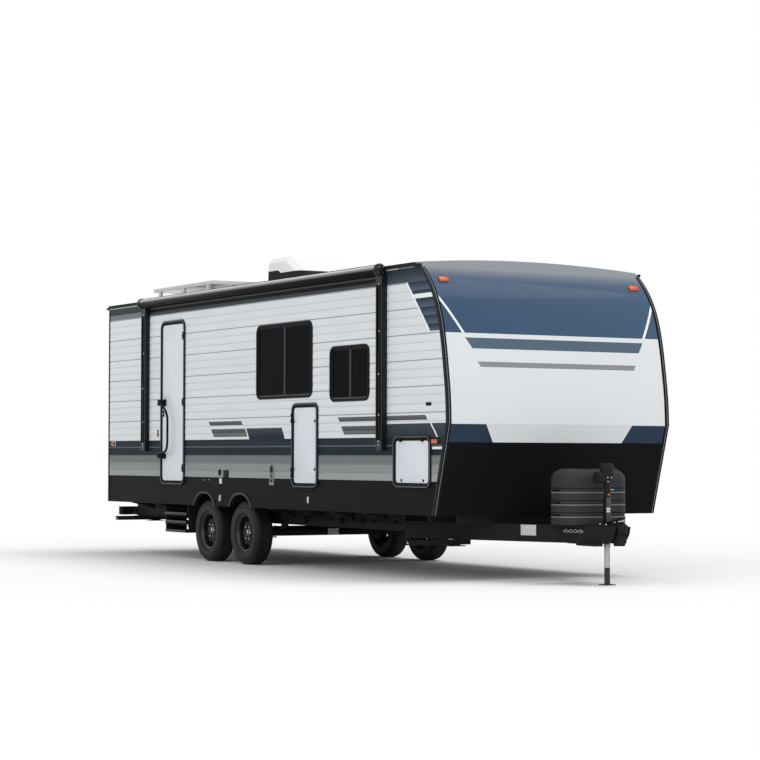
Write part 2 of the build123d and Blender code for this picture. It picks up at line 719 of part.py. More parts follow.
def cover_block(inset, z):
    """Rounded block with the gas cover's outline, drawn in by an inset."""
    outline = RectangleRounded(
        COVER_LENGTH - 2 * inset, COVER_WIDTH - 2 * inset, COVER_CORNER - inset,
    )
    return extrude(Plane(origin=(COVER_CENTRE_X, 0, z[0])) * outline, amount=z[1] - z[0])


def gas_cover():
    """Moulded cover over the gas bottles: domed, grooved all round and open below."""
    base = TONGUE_TOP + TRAY_THICKNESS
    outer = cover_block(0, (base, COVER_TOP - COVER_CAP_HEIGHT))
    outer = fillet(outer.edges().group_by(Axis.Z)[-1], COVER_TOP_ROUND)
    for z in COVER_GROOVES:
        band = (z, z + COVER_GROOVE_HEIGHT)
        outer = outer - (cover_block(-PAST / 2, band) - cover_block(COVER_GROOVE_DEPTH, band))
    cap = rod((COVER_CENTRE_X, 0, COVER_TOP - PAST), (COVER_CENTRE_X, 0, COVER_TOP), COVER_CAP_RADIUS)
    hollow_top = COVER_TOP - COVER_WALL - COVER_TOP_ROUND
    return [outer + cap - cover_block(2 * COVER_WALL, (base - 1, hollow_top))]


def floor():
    """Floor deck between the walls, cut out around the wheel liners."""
    z = (RAIL_TOP, RAIL_TOP + FLOOR_THICKNESS)
    deck = body_block((-INNER, INNER), -WALL) & block((WALL, BEYOND), (-HALF, HALF), z)
    low, high = AXLES[0] - LINER_MARGIN, AXLES[1] + LINER_MARGIN
    well = block((low, high), (-HALF, -LINER_INNER_Y), (z[0] - 1, z[1] + 1))
    return [deck - well - mirrored(well)]


def wheel_liners():
    """Pressed boxes over each pair of wheels, open below and towards the arches."""
    low, high = AXLES[0] - LINER_MARGIN, AXLES[1] + LINER_MARGIN
    box = block((low, high), (-INNER, -LINER_INNER_Y), (RAIL_TOP, LINER_TOP))
    hollow = block(
        (low + LINER_WALL, high - LINER_WALL), (-INNER - 1, -LINER_INNER_Y - LINER_WALL),
        (RAIL_TOP - 1, LINER_TOP - LINER_WALL),
    )
    liner = box - hollow
    return [liner, mirrored(liner)]


def door_side_wall():
    return [side_wall([ENTRY_DOOR, LARGE_WINDOW, SMALL_WINDOW, TALL_HATCH, BAGGAGE_DOOR])]


def off_side_wall():
    return [mirrored(side_wall([OFF_REAR_WINDOW, OFF_MIDDLE_WINDOW, BAGGAGE_DOOR]))]


def rear_wall():
    wall = block((0, WALL), (-INNER, INNER), (BODY_BASE, WALL_TOP))
    return [wall - cross_panel(REAR_WINDOW, (-PAST, WALL + PAST), FRAME_SLEEVE + SEAT)]


def front_wall():
    """Curved front panel between the side walls."""
    shell = body_block((-INNER, INNER)) - body_block((-HALF, HALF), -WALL)
    keep = block((ROOF_FRONT_X - WALL, BEYOND), (-HALF, HALF), (BODY_BASE, WALL_TOP))
    return [shell & keep]


def roof():
    """Crowned roof slab over the walls, cut off along the brow in front."""
    slab = body_block((-HALF, HALF)) - BELOW_ROOF
    arc = ThreePointArc((-HALF, ROOF_EDGE), (0, ROOF_EDGE + ROOF_CROWN), (HALF, ROOF_EDGE))
    chord = Line((HALF, ROOF_EDGE), (-HALF, ROOF_EDGE))
    place = Plane(origin=(0, 0, 0), x_dir=(0, 1, 0), z_dir=(1, 0, 0))
    crown = extrude(place * make_face([arc, chord]), amount=ROOF_FRONT_X)
    vault_arc = ThreePointArc((-INNER, WALL_TOP), (0, WALL_TOP + ROOF_CROWN), (INNER, WALL_TOP))
    vault_face = make_face([vault_arc, Line((INNER, WALL_TOP), (-INNER, WALL_TOP))])
    vault = Pos(WALL, 0, 0) * extrude(place * vault_face, amount=ROOF_FRONT_X - 4 * WALL)
    slope = Pos(ROOF_FRONT_X, 0, ROOF_EDGE) * Rot(0, BROW_SLOPE, 0) * Box(
        3 * BROW_CUT_HEIGHT, BODY_WIDTH + PAST, BROW_CUT_HEIGHT,
        align=(Align.CENTER, Align.CENTER, Align.MIN),
    )
    return [slab + (crown - slope) - vault]


def corner_mouldings():
    """Trim rails over the joints between the side walls and the front and rear walls."""
    reach = (-HALF - MOULDING_PROUD, -HALF + MOULDING_FACE)
    ahead = block((ROOF_FRONT_X - BEYOND / 10, BEYOND), (-HALF - PAST, 0), (BODY_BASE, WALL_TOP))
    front = (body_block(reach, MOULDING_PROUD) & ahead) - body_block((-HALF, 0))
    front = front - body_block((-HALF - PAST, 0), -MOULDING_FACE)
    rear = block((-MOULDING_PROUD, MOULDING_FACE), reach, (BODY_BASE, WALL_TOP))
    rear = rear - block((0, PAST), (-HALF, 0), (0, BEYOND))
    return [front, mirrored(front), rear, mirrored(rear)]


def gutter():
    """Drip rail along the door-side roof edge with a spout at each end."""
    z = (ROOF_EDGE - GUTTER_HEIGHT, ROOF_EDGE)
    y = (-HALF - GUTTER_PROUD, -HALF)
    end = ROOF_FRONT_X - GUTTER_END_BACK
    rail = block((0, end), y, z)
    groove = block(
        (GUTTER_STOP, end - GUTTER_STOP), (y[0] + GUTTER_WALL, y[1] - GUTTER_WALL),
        (z[0] + GUTTER_FLOOR, z[1] + 1),
    )
    spout_z = (z[0] - SPOUT_DROP, z[0] - SPOUT_DROP + SPOUT_HEIGHT)
    front = block((end, end + SPOUT_LENGTH), y, spout_z)
    rear = block((-SPOUT_LENGTH / 2, 0), y, spout_z)
    return join([rail - groove, front, rear])


def roof_gutters():
    rail = gutter()
    return [rail, mirrored(rail)]


def window_frames():
    """Frames of every fixed window."""
    rear_flange = cross_panel(REAR_WINDOW, (-FRAME_PROUD, 0), FRAME_FACE)
    rear_sleeve = cross_panel(REAR_WINDOW, (0, WALL), FRAME_SLEEVE)
    rear = rear_flange + rear_sleeve - cross_panel(REAR_WINDOW, (-PAST, WALL + PAST))
    return [
        frame_ring(LARGE_WINDOW, mullion=True),
        frame_ring(SMALL_WINDOW, mullion=True),
        mirrored(frame_ring(OFF_REAR_WINDOW, mullion=True)),
        mirrored(frame_ring(OFF_MIDDLE_WINDOW, mullion=True)),
        rear,
    ]


def window_panes():
    rear = cross_panel(REAR_WINDOW, (GLASS_DEPTH, GLASS_DEPTH + GLASS_THICKNESS), -SEAT)
    return [
        pane(LARGE_WINDOW), pane(SMALL_WINDOW),
        mirrored(pane(OFF_REAR_WINDOW)), mirrored(pane(OFF_MIDDLE_WINDOW)), rear,
    ]


def hatch_frames():
    """Frames of the entry door, the tall hatch and the two baggage doors."""
    entry = join([frame_ring(ENTRY_DOOR)] + [half[0] for half in ENTRY_HINGES])
    tall = join([frame_ring(TALL_HATCH)] + [half[0] for half in HATCH_HINGES])
    baggage = join([frame_ring(BAGGAGE_DOOR)] + [half[0] for half in BAGGAGE_HINGES])
    return [entry, tall, baggage, mirrored(baggage)]


def grab_handle():
    """Long bent handle on two brackets, on the latch side of the entry door."""
    face = OUTSIDE - LEAF_PROUD
    y = face - HANDLE_STANDOFF
    x = (HANDLE_ROOT_X - HANDLE_BLOCK_LENGTH, HANDLE_ROOT_X)
    blocks = []
    for z in (HANDLE_LOW, HANDLE_HIGH - HANDLE_RADIUS):
        tall = (z - HANDLE_BLOCK_HEIGHT / 2, z + HANDLE_BLOCK_HEIGHT / 2)
        blocks.append(block(x, (y - HANDLE_BLOCK_OVER, face), tall))
    start = HANDLE_ROOT_X - HANDLE_BLOCK_LENGTH / 3
    route = FilletPolyline(
        (start, y, HANDLE_LOW), (HANDLE_BAR_X, y, HANDLE_LOW),
        (HANDLE_BAR_X, y, HANDLE_HIGH - HANDLE_SLANT), (start, y, HANDLE_HIGH - HANDLE_RADIUS),
        radius=HANDLE_BEND,
    )
    section = Plane(origin=route @ 0, z_dir=route % 0) * Circle(HANDLE_RADIUS)
    return [join([sweep(section, path=route)] + blocks)]


def awning_arms():
    """Folded arms on the wall: deep channels with a round head below each roller end."""
    shapes = []
    half = AWNING_ARM_WIDTH / 2
    top = AWNING_TUBE_Z - AWNING_TUBE_RADIUS - SEAT
    outer = -HALF - AWNING_ARM_DEPTH
    for x in (AWNING_REAR_ARM_X, AWNING_FRONT_ARM_X):
        bar = block((x - half, x + half), (outer, -HALF), (AWNING_ARM_BOTTOM, top))
        inner = half - AWNING_CHANNEL_WALL
        groove = block(
            (x - inner, x + inner), (outer - 1, outer + AWNING_CHANNEL_DEPTH),
            (AWNING_ARM_BOTTOM + AWNING_CHANNEL_LIP, top - AWNING_CHANNEL_LIP),
        )
        shapes.append(bar - groove)
    return shapes


def awning_roller():
    """Cloth rolled on its tube, with a round head at each end above the arms."""
    y = -HALF - AWNING_TUBE_OUT
    half = AWNING_ARM_WIDTH / 2
    start, end = AWNING_REAR_ARM_X - half, AWNING_FRONT_ARM_X + half
    shapes = [rod((start, y, AWNING_TUBE_Z), (end, y, AWNING_TUBE_Z), AWNING_TUBE_RADIUS)]
    lift = AWNING_HEAD_RADIUS - AWNING_TUBE_RADIUS
    for x in (start, end - AWNING_HEAD_LENGTH):
        head = rod((x, y, AWNING_TUBE_Z), (x + AWNING_HEAD_LENGTH, y, AWNING_TUBE_Z), AWNING_HEAD_RADIUS)
        low = AWNING_TUBE_Z - AWNING_TUBE_RADIUS
        under = block((x, x + AWNING_HEAD_LENGTH), (y - PAST - lift, -HALF), (low - PAST, low))
        wall = block((x, x + AWNING_HEAD_LENGTH), (-HALF - GUTTER_PROUD - SEAT, HALF), (low, BEYOND))
        shapes.append(head - under - wall)
    return [join(shapes)]


ROOF_SLAB = roof()[0]


def on_roof(x, y, z_top):
    """Box that reaches down to the roof's own curve."""
    pieces = (block(x, y, (ROOF_EDGE, z_top)) - ROOF_SLAB).solids()
    return max(pieces, key=lambda piece: piece.center().Z)


def air_conditioner():
    """Roof unit: a dark base seated on the roof and a shroud that slopes down in front."""
    rear, front = AC_X - AC_LENGTH / 2, AC_X + AC_LENGTH / 2
    low = ROOF_EDGE + ROOF_CROWN + AC_BASE_HEIGHT
    top = low + AC_HEIGHT
    half = AC_WIDTH / 2
    base = on_roof(
        (rear + AC_BASE_INSET, front - AC_BASE_INSET), (AC_BASE_INSET - half, half - AC_BASE_INSET), low,
    )
    outline = Polyline(
        (rear, low), (rear + AC_LENGTH * 0.02, top - AC_HEIGHT * 0.2), (rear + AC_LENGTH * 0.07, top),
        (front - AC_LENGTH * 0.42, top), (front - AC_LENGTH * 0.12, low + AC_HEIGHT * 0.5),
        (front, low + AC_HEIGHT * 0.12), (front, low), close=True,
    )
    place = Plane(origin=(0, -half, 0), x_dir=(1, 0, 0), z_dir=(0, -1, 0))
    shroud = extrude(place * make_face(outline), amount=-AC_WIDTH)
    ends = shroud.faces().filter_by(Axis.Y)
    edges = [edge for face in ends for edge in face.edges() if edge.center().Z > low + 1]
    return [base + chamfer(edges, AC_EDGE)]


def solar_panel():
    """Flat framed panel on six short feet."""
    x = (SOLAR_REAR_X, SOLAR_REAR_X + SOLAR_LENGTH)
    y = (SOLAR_CENTRE_Y - SOLAR_WIDTH / 2, SOLAR_CENTRE_Y + SOLAR_WIDTH / 2)
    low = ROOF_EDGE + ROOF_CROWN + SOLAR_LIFT
    pieces = [block(x, y, (low, low + SOLAR_THICKNESS))]
    long_half, wide_half = SOLAR_FOOT_LENGTH / 2, SOLAR_FOOT_WIDTH / 2
    for foot_x in (x[0] + SOLAR_FOOT_INSET, (x[0] + x[1]) / 2, x[1] - SOLAR_FOOT_INSET):
        for foot_y in (y[0] + SOLAR_FOOT_EDGE, y[1] - SOLAR_FOOT_EDGE):
            wide = (foot_y - wide_half, foot_y + wide_half)
            pieces.append(on_roof((foot_x - long_half, foot_x + long_half), wide, low + 1))
    return [join(pieces)]


VENT_TOP = ROOF_EDGE + ROOF_CROWN + VENT_HEIGHT


def roof_vent_frame():
    """Upstand of the roof vent."""
    half = VENT_SIZE / 2
    outer = on_roof((VENT_X - half, VENT_X + half), (VENT_Y - half, VENT_Y + half), VENT_TOP)
    half = half - VENT_WALL
    inner = block((VENT_X - half, VENT_X + half), (VENT_Y - half, VENT_Y + half), (0, BEYOND))
    return [outer - inner]


def roof_vent_lid():
    """Shallow lid over the roof vent, hinged at its rear edge."""
    half = VENT_SIZE / 2 + VENT_LID_OVERHANG
    z = (VENT_TOP + SEAT, VENT_TOP + VENT_LID_THICKNESS)
    lid = block((VENT_X - half, VENT_X + half), (VENT_Y - half, VENT_Y + half), z)
    return [chamfer(lid.edges().group_by(Axis.Z)[-1], VENT_LID_EDGE)]


def entry_door():
    return [join([leaf(ENTRY_DOOR)] + [half[1] for half in ENTRY_HINGES])]


def tall_hatch():
    return [join([leaf(TALL_HATCH)] + [half[1] for half in HATCH_HINGES])]


def baggage_door():
    return [join([leaf(BAGGAGE_DOOR)] + [half[1] for half in BAGGAGE_HINGES])]


def off_side_baggage_door():
    return [mirrored(baggage_door()[0])]


def lamp_box(x, z, y):
    """Oblong lamp on a side wall."""
    half, rise = SIDE_LAMP_LENGTH / 2, SIDE_LAMP_HEIGHT / 2
    return block((x - half, x + half), y, (z - rise, z + rise))


def amber_lamps():
    """Front corner markers and side markers."""
    shapes = []
    for side in (-1, 1):
        point, outward = front_point(MARKER_Z)
        place = Plane(origin=(point.X, side * MARKER_Y, point.Y), z_dir=(outward.X, 0, outward.Y))
        lamp = place * Pos(0, 0, -MARKER_PROUD) * Cylinder(
            MARKER_RADIUS, 2 * MARKER_PROUD, align=(Align.CENTER, Align.CENTER, Align.MIN),
        )
        shapes.append(lamp - body_block((-HALF, HALF)))
        x, z = SIDE_MARKER
        y = (-HALF - LAMP_PROUD, -HALF) if side < 0 else (HALF, HALF + LAMP_PROUD)
        shapes.append(lamp_box(x, z, y))
    return shapes


def red_lamps():
    """Tail lamps, rear corner markers and side markers at the back."""
    shapes = []
    for side in (-1, 1):
        y = (side * TAIL_LAMP_Y - TAIL_LAMP_WIDTH / 2, side * TAIL_LAMP_Y + TAIL_LAMP_WIDTH / 2)
        z = (TAIL_LAMP_Z - TAIL_LAMP_HEIGHT / 2, TAIL_LAMP_Z + TAIL_LAMP_HEIGHT / 2)
        shapes.append(block((-LAMP_PROUD, 0), y, z))
        x, z0 = REAR_MARKER
        wall = (-HALF - LAMP_PROUD, -HALF) if side < 0 else (HALF, HALF + LAMP_PROUD)
        shapes.append(lamp_box(x, z0, wall))
    half, rise = TOP_LAMP_LENGTH / 2, SIDE_LAMP_HEIGHT / 2
    for y in (-MARKER_Y, -TOP_LAMP_SPACING, 0, TOP_LAMP_SPACING, MARKER_Y):
        shapes.append(block((-LAMP_PROUD, 0), (y - half, y + half), (MARKER_Z - rise, MARKER_Z + rise)))
    return shapes


def axles():
    """Two axle beams with backing plates and spindles."""
    shapes = []
    z = TYRE_RADIUS
    plate_y = WHEEL_Y - DRUM_BACK
    for x in AXLES:
        beam = rod((x, -plate_y, z), (x, plate_y, z), AXLE_TUBE_RADIUS)
        end = plate_y + SPINDLE_DEPTH
        spindle = rod((x, -end, z), (x, end, z), SPINDLE_RADIUS)
        plates = [
            rod((x, side * plate_y, z), (x, side * (plate_y - BACKPLATE_THICKNESS), z), DRUM_RADIUS)
            for side in (-1, 1)
        ]
        shapes.append(join([beam, spindle] + plates))
    return shapes


def leaf_springs():
    """One spring pack per wheel, on top of its axle and below the rail."""
    shapes = []
    for x in AXLES:
        for y in (-RAIL_Y, RAIL_Y):
            z = TYRE_RADIUS + AXLE_TUBE_RADIUS + SEAT
            leaves = []
            for step in range(SPRING_LEAVES):
                half = SPRING_HALF - SPRING_STEP * step
                low = z + SPRING_LEAF * (SPRING_LEAVES - 1 - step)
                wide = (y - SPRING_WIDTH / 2, y + SPRING_WIDTH / 2)
                leaves.append(block((x - half, x + half), wide, (low, low + SPRING_LEAF)))
            shapes.append(join(leaves))
    return shapes


def spring_hangers():
    """Plates below the rails that hold the ends of the springs."""
    shapes = []
    spring_top = TYRE_RADIUS + AXLE_TUBE_RADIUS + SEAT + SPRING_LEAF * SPRING_LEAVES
    half = HANGER_LENGTH / 2
    for x in (AXLES[0] - SPRING_HALF, (AXLES[0] + AXLES[1]) / 2, AXLES[1] + SPRING_HALF):
        for y in (-RAIL_Y, RAIL_Y):
            wide = (y - SPRING_WIDTH / 2 - HANGER_OVERLAP, y + SPRING_WIDTH / 2 + HANGER_OVERLAP)
            shapes.append(block((x - half, x + half), wide, (spring_top, RAIL_BOTTOM)))
    return shapes


def turned(edges, x, side):
    """Wheel part turned from half a section, given as radius and distance outwards."""
    ring = revolve(Plane.XZ * make_face(edges), Axis.Z)
    return Pos(x, side * WHEEL_Y, TYRE_RADIUS) * Rot(-90 * side, 0, 0) * ring


def tyre(x, side):
    """Tyre with a flat tread, rounded shoulders and bulging side walls."""
    half = TYRE_WIDTH / 2
    bead = RIM_RADIUS + SEAT
    edge = half - BEAD_INSET
    middle = (TYRE_RADIUS + bead) / 2
    low = (TYRE_RADIUS - TYRE_BULGE, TREAD_HALF)
    outline = [
        Line((bead, -edge), (bead, edge)),
        ThreePointArc((bead, edge), (middle, half), low),
        Line(low, (TYRE_RADIUS, TREAD_HALF - TYRE_BULGE)),
        Line((TYRE_RADIUS, TREAD_HALF - TYRE_BULGE), (TYRE_RADIUS, TYRE_BULGE - TREAD_HALF)),
        Line((TYRE_RADIUS, TYRE_BULGE - TREAD_HALF), (low[0], -low[1])),
        ThreePointArc((low[0], -low[1]), (middle, -half), (bead, -edge)),
    ]
    return turned(outline, x, side)


def rim(x, side):
    """Steel rim with its slotted disc, hub, cap and brake drum, turning on the spindle."""
    half = RIM_WIDTH / 2
    outer, inner = RIM_RADIUS, RIM_RADIUS - RIM_WALL
    well = half - RIM_FLANGE - RIM_DROP
    barrel = Polyline(
        (outer, -half), (outer, -half + RIM_FLANGE), (outer - RIM_DROP, -well),
        (outer - RIM_DROP, well), (outer, half - RIM_FLANGE), (outer, half),
        (inner, half), (inner, half - RIM_FLANGE), (inner - RIM_DROP, well),
        (inner - RIM_DROP, -well), (inner, -half + RIM_FLANGE), (inner, -half), close=True,
    )
    face = DISC_OFFSET + DISC_THICKNESS
    edge = inner - RIM_DROP + 1
    disc = Polyline(
        (0, DISC_OFFSET), (HUB_RADIUS, DISC_OFFSET),
        (DISC_SLOT_CIRCLE - HUB_RADIUS, DISC_OFFSET + DISC_BULGE),
        (DISC_SLOT_CIRCLE, DISC_OFFSET + DISC_BULGE), (edge, DISC_OFFSET), (edge, face),
        (DISC_SLOT_CIRCLE, face + DISC_BULGE), (DISC_SLOT_CIRCLE - HUB_RADIUS, face + DISC_BULGE),
        (HUB_RADIUS, face), (0, face), close=True,
    )
    back = DRUM_PLAY - DRUM_BACK
    cap_end = face + HUB_CAP_LENGTH
    hub = Polyline(
        (0, back), (HUB_RADIUS, back), (HUB_RADIUS, DISC_OFFSET + 1), (HUB_CAP_RADIUS, DISC_OFFSET + 1),
        (HUB_CAP_RADIUS, cap_end), (0, cap_end), close=True,
    )
    drum = Polyline(
        (0, back), (DRUM_RADIUS, back), (DRUM_RADIUS, back + DRUM_WIDTH), (0, back + DRUM_WIDTH),
        close=True,
    )
    wheel = join([
        revolve(Plane.XZ * make_face(outline), Axis.Z) for outline in (barrel, disc, hub, drum)
    ])
    upwards = (Align.CENTER, Align.CENTER, Align.MIN)
    slot = Pos(DISC_SLOT_CIRCLE, 0, 0) * Cylinder(DISC_SLOT_RADIUS, cap_end, align=upwards)
    for turn in range(DISC_SLOTS):
        wheel = wheel - Rot(0, 0, turn * 360 / DISC_SLOTS) * slot
    bore = Pos(0, 0, back - 1) * Cylinder(SPINDLE_RADIUS + SPINDLE_PLAY, SPINDLE_DEPTH + 1, align=upwards)
    return Pos(x, side * WHEEL_Y, TYRE_RADIUS) * Rot(-90 * side, 0, 0) * (wheel - bore)


def step_pivot(level):
    """Place of the outer pivot of one level's swing arms, as y and z."""
    return STEP_FRONT_Y + STEP_PIVOT_IN, STEP_PIVOT_Z - level * STEP_STACK


def arm_end(level):
    """Place of the arms' inner pivot when the steps are folded."""
    y, z = step_pivot(level)
    angle = radians(STEP_ARM_STOWED)
    return y + STEP_ARM * cos(angle), z - STEP_ARM * sin(angle)


def arm_inset(level):
    """Distance from the housing's cheeks to the outer face of one level's arms."""
    return level * (STEP_ARM_THICKNESS + STEP_CHEEK_THICKNESS + 2 * SEAT) + SEAT


def step_pin(edge, inward, pivot, length):
    """Pin along X on a cheek, as long as the arm beside it is thick."""
    start = (edge, pivot[0], pivot[1])
    return rod(start, (edge + inward * length, pivot[0], pivot[1]), STEP_PIN_RADIUS)


def step_bracket():
    """Housing under the floor that carries the folded steps."""
    x0, x1 = STEP_X
    y = (STEP_FRONT_Y, STEP_FRONT_Y + STEP_BRACKET_DEPTH)
    pivot = step_pivot(0)
    half = STEP_ARM_WIDTH / 2
    lowest = arm_end(len(STEP_LEVELS) - 1)[1] - STEP_TREAD_DROP - STEP_TREAD_THICKNESS
    side = STEP_CHEEK_GAP + STEP_CHEEK_THICKNESS
    shapes = [block((x0 - side, x1 + side), y, (STEP_BRACKET_TOP, RAIL_TOP))]
    for x in (x0 - side, x1 + STEP_CHEEK_GAP):
        cheek_y = (y[0] + STEP_CHEEK_BACK, y[1])
        z = (lowest, STEP_BRACKET_TOP + 1)
        shapes.append(block((x, x + STEP_CHEEK_THICKNESS), cheek_y, z))
    for x in (x0 - STEP_CHEEK_GAP - 1, x1):
        pad_y, pad_z = (pivot[0] - half, pivot[0] + half), (pivot[1] - half, pivot[1] + half)
        shapes.append(block((x, x + STEP_CHEEK_GAP + 1), pad_y, pad_z))
    length = STEP_ARM_THICKNESS + SEAT
    shapes += [step_pin(x0, 1, pivot, length), step_pin(x1, -1, pivot, length)]
    return [join(shapes)]


def step_arms(level):
    """Pair of swing arms for one tread, folded inwards and tied by a round bar."""
    y, z = step_pivot(level)
    inset = arm_inset(level)
    bars = []
    for x in (STEP_X[0] + inset, STEP_X[1] - inset - STEP_ARM_THICKNESS):
        bar = Box(
            STEP_ARM_THICKNESS, STEP_ARM + STEP_ARM_WIDTH, STEP_ARM_WIDTH,
            align=(Align.MIN, Align.MIN, Align.CENTER),
        )
        bar = Pos(0, -STEP_ARM_WIDTH / 2, 0) * bar
        bars.append(Pos(x, y, z) * Rot(-STEP_ARM_STOWED, 0, 0) * bar)
    end_y, end_z = arm_end(level)
    tie_y, tie_z = (y + end_y) / 2, (z + end_z) / 2
    x = (STEP_X[0] + inset + 1, STEP_X[1] - inset - 1)
    arms = join(bars + [rod((x[0], tie_y, tie_z), (x[1], tie_y, tie_z), STEP_PIN_RADIUS)])
    for pivot_y, pivot_z in ((y, z), (end_y, end_z)):
        start, end = (STEP_X[0], pivot_y, pivot_z), (STEP_X[1], pivot_y, pivot_z)
        arms = arms - rod(start, end, STEP_PIN_RADIUS + HINGE_PLAY)
    return [arms]


def step_tread(level):
    """One tread: a shallow tray with cheeks up to its arms and down to the next pair."""
    own = arm_end(level)
    inset = arm_inset(level) + STEP_ARM_THICKNESS + SEAT
    x = (STEP_X[0] + inset, STEP_X[1] - inset)
    top = own[1] - STEP_TREAD_DROP
    y = (STEP_FRONT_Y, STEP_FRONT_Y + STEP_TREAD_DEPTH)
    tray = block(x, y, (top - STEP_TREAD_THICKNESS, top))
    hollow = block(
        (x[0] + STEP_SHEET, x[1] - STEP_SHEET), (y[0] + STEP_SHEET, y[1] - STEP_SHEET),
        (top - STEP_TREAD_THICKNESS - 1, top - STEP_SHEET),
    )
    shapes = [tray - hollow]
    half = STEP_ARM_WIDTH / 2
    length = STEP_ARM_THICKNESS + SEAT
    for outer, inward in ((x[0], 1), (x[1], -1)):
        inner = outer + inward * STEP_CHEEK_THICKNESS
        wide = (min(outer, inner), max(outer, inner))
        shapes.append(block(wide, (own[0] - half, own[0] + half), (top - 2, own[1] + half)))
        shapes.append(step_pin(outer, -inward, own, length))
        if level + 1 < len(STEP_LEVELS):
            below = step_pivot(level + 1)
            shapes.append(block(wide, (below[0] - half, below[0] + half), (below[1] - half, top - 2)))
            shapes.append(step_pin(inner, inward, below, length))
    return [join(shapes)]


def stabiliser_top(x):
    """Underside of what carries a stabiliser: the rail, or the A-frame in front."""
    return RAIL_BOTTOM if x < RAIL_FRONT_X else TONGUE_BOTTOM


def stabiliser_pivot(x):
    """Place of the leg's pin on the door side, as y and z."""
    return -STABILISER_OUTER_Y + LEG_PIVOT_IN, stabiliser_top(x) - STABILISER_HEIGHT / 2


def stabiliser_housings():
    """Channels under the frame that hold the folded stabiliser legs."""
    shapes = []
    for x in STABILISER_X:
        half = STABILISER_WIDTH / 2
        top = stabiliser_top(x)
        y = (-STABILISER_OUTER_Y, -STABILISER_INNER_Y)
        outer = block((x - half, x + half), y, (top - STABILISER_HEIGHT, top))
        half = half - STABILISER_WALL
        hollow = block(
            (x - half, x + half), (y[0] - 1, y[1] + 1),
            (top - STABILISER_HEIGHT - 1, top - STABILISER_WALL),
        )
        pin_y, pin_z = stabiliser_pivot(x)
        pin = rod((x - half - 1, pin_y, pin_z), (x + half + 1, pin_y, pin_z), LEG_PIN_RADIUS)
        channel = outer - hollow + pin
        shapes += [channel, mirrored(channel)]
    return shapes


def stabiliser_leg(x, side):
    """Drop leg with its foot, folded flat in its channel."""
    y, z = stabiliser_pivot(x)
    half = LEG_WIDTH / 2
    thick = LEG_THICKNESS / 2
    leg = block((x - half, x + half), (y - thick, y + LEG_LENGTH), (z - thick, z + thick))
    foot_y = (y + LEG_LENGTH - FOOT_LENGTH, y + LEG_LENGTH)
    half = FOOT_WIDTH / 2
    bottom = stabiliser_top(x) - STABILISER_HEIGHT - FOOT_GAP
    foot = block((x - half, x + half), foot_y, (bottom - FOOT_THICKNESS, bottom))
    half = LEG_WIDTH / 2
    neck = block((x - half, x + half), (foot_y[0] + 30, foot_y[1] - 30), (bottom - 1, z))
    bore = rod((x - half - 1, y, z), (x + half + 1, y, z), LEG_PIN_RADIUS + HINGE_PLAY)
    piece = join([leg, neck, foot]) - bore
    return [piece if side < 0 else mirrored(piece)]


def name_of(end, side):
    return f"{'door_side' if side < 0 else 'off_side'}_{end}"


NODES = {
    "frame_rails": frame_rails,
    "underframe_members": lambda: crossmembers() + outriggers(),
    "rear_bumper": rear_bumper,
    "tongue_beams": tongue_beams,
    "tongue_crossbars": tongue_crossbars,
    "coupler": coupler,
    "floor": floor,
    "wheel_liners": wheel_liners,
    "door_side_wall": door_side_wall,
    "off_side_wall": off_side_wall,
    "arch_trims": arch_trims,
    "rear_wall": rear_wall,
    "front_wall": front_wall,
    "roof": lambda: [ROOF_SLAB],
    "corner_mouldings": corner_mouldings,
    "roof_gutters": roof_gutters,
    "window_frames": window_frames,
    "window_panes": window_panes,
    "hatch_frames": hatch_frames,
    "entry_door": entry_door,
    "grab_handle": grab_handle,
    "tall_hatch": tall_hatch,
    "door_side_baggage_door": baggage_door,
    "off_side_baggage_door": off_side_baggage_door,
    "awning_arms": awning_arms,
    "awning_roller": awning_roller,
    "air_conditioner": air_conditioner,
    "solar_panel": solar_panel,
    "roof_vent_frame": roof_vent_frame,
    "roof_vent_lid": roof_vent_lid,
    "amber_lamps": amber_lamps,
    "red_lamps": red_lamps,
    "axles": axles,
    "leaf_springs": leaf_springs,
    "spring_hangers": spring_hangers,
    "jack_body": jack_body,
    "jack_leg": jack_leg,
    "gas_cover": gas_cover,
    "step_bracket": step_bracket,
    "stabiliser_housings": stabiliser_housings,
}


def write_node(name, solids):
    """Write one node's solids, moved so that x = 0 is halfway along the vehicle."""
    moved = [Pos(-MID_X, 0, 0) * solid for solid in solids]
    flat = [solid for shape in moved for solid in shape.solids()]
    export_step(Compound(children=flat), f"parts/{name}.step")


def main():
    os.makedirs("parts", exist_ok=True)
    for name, maker in NODES.items():
        write_node(name, maker())
    for end, x in (("rear", AXLES[0]), ("front", AXLES[1])):
        for side in (-1, 1):
            write_node(name_of(f"{end}_tyre", side), [tyre(x, side)])
            write_node(name_of(f"{end}_rim", side), [rim(x, side)])
    for end, x in zip(("rear", "front"), STABILISER_X):
        for side in (-1, 1):
            write_node(name_of(f"{end}_stabiliser_leg", side), stabiliser_leg(x, side))
    for level, word in enumerate(STEP_LEVELS):
        write_node(f"{word}_step_arms", step_arms(level))
        write_node(f"{word}_step_tread", step_tread(level))


main()
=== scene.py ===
"""Visual model of a travel caravan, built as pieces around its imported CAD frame."""

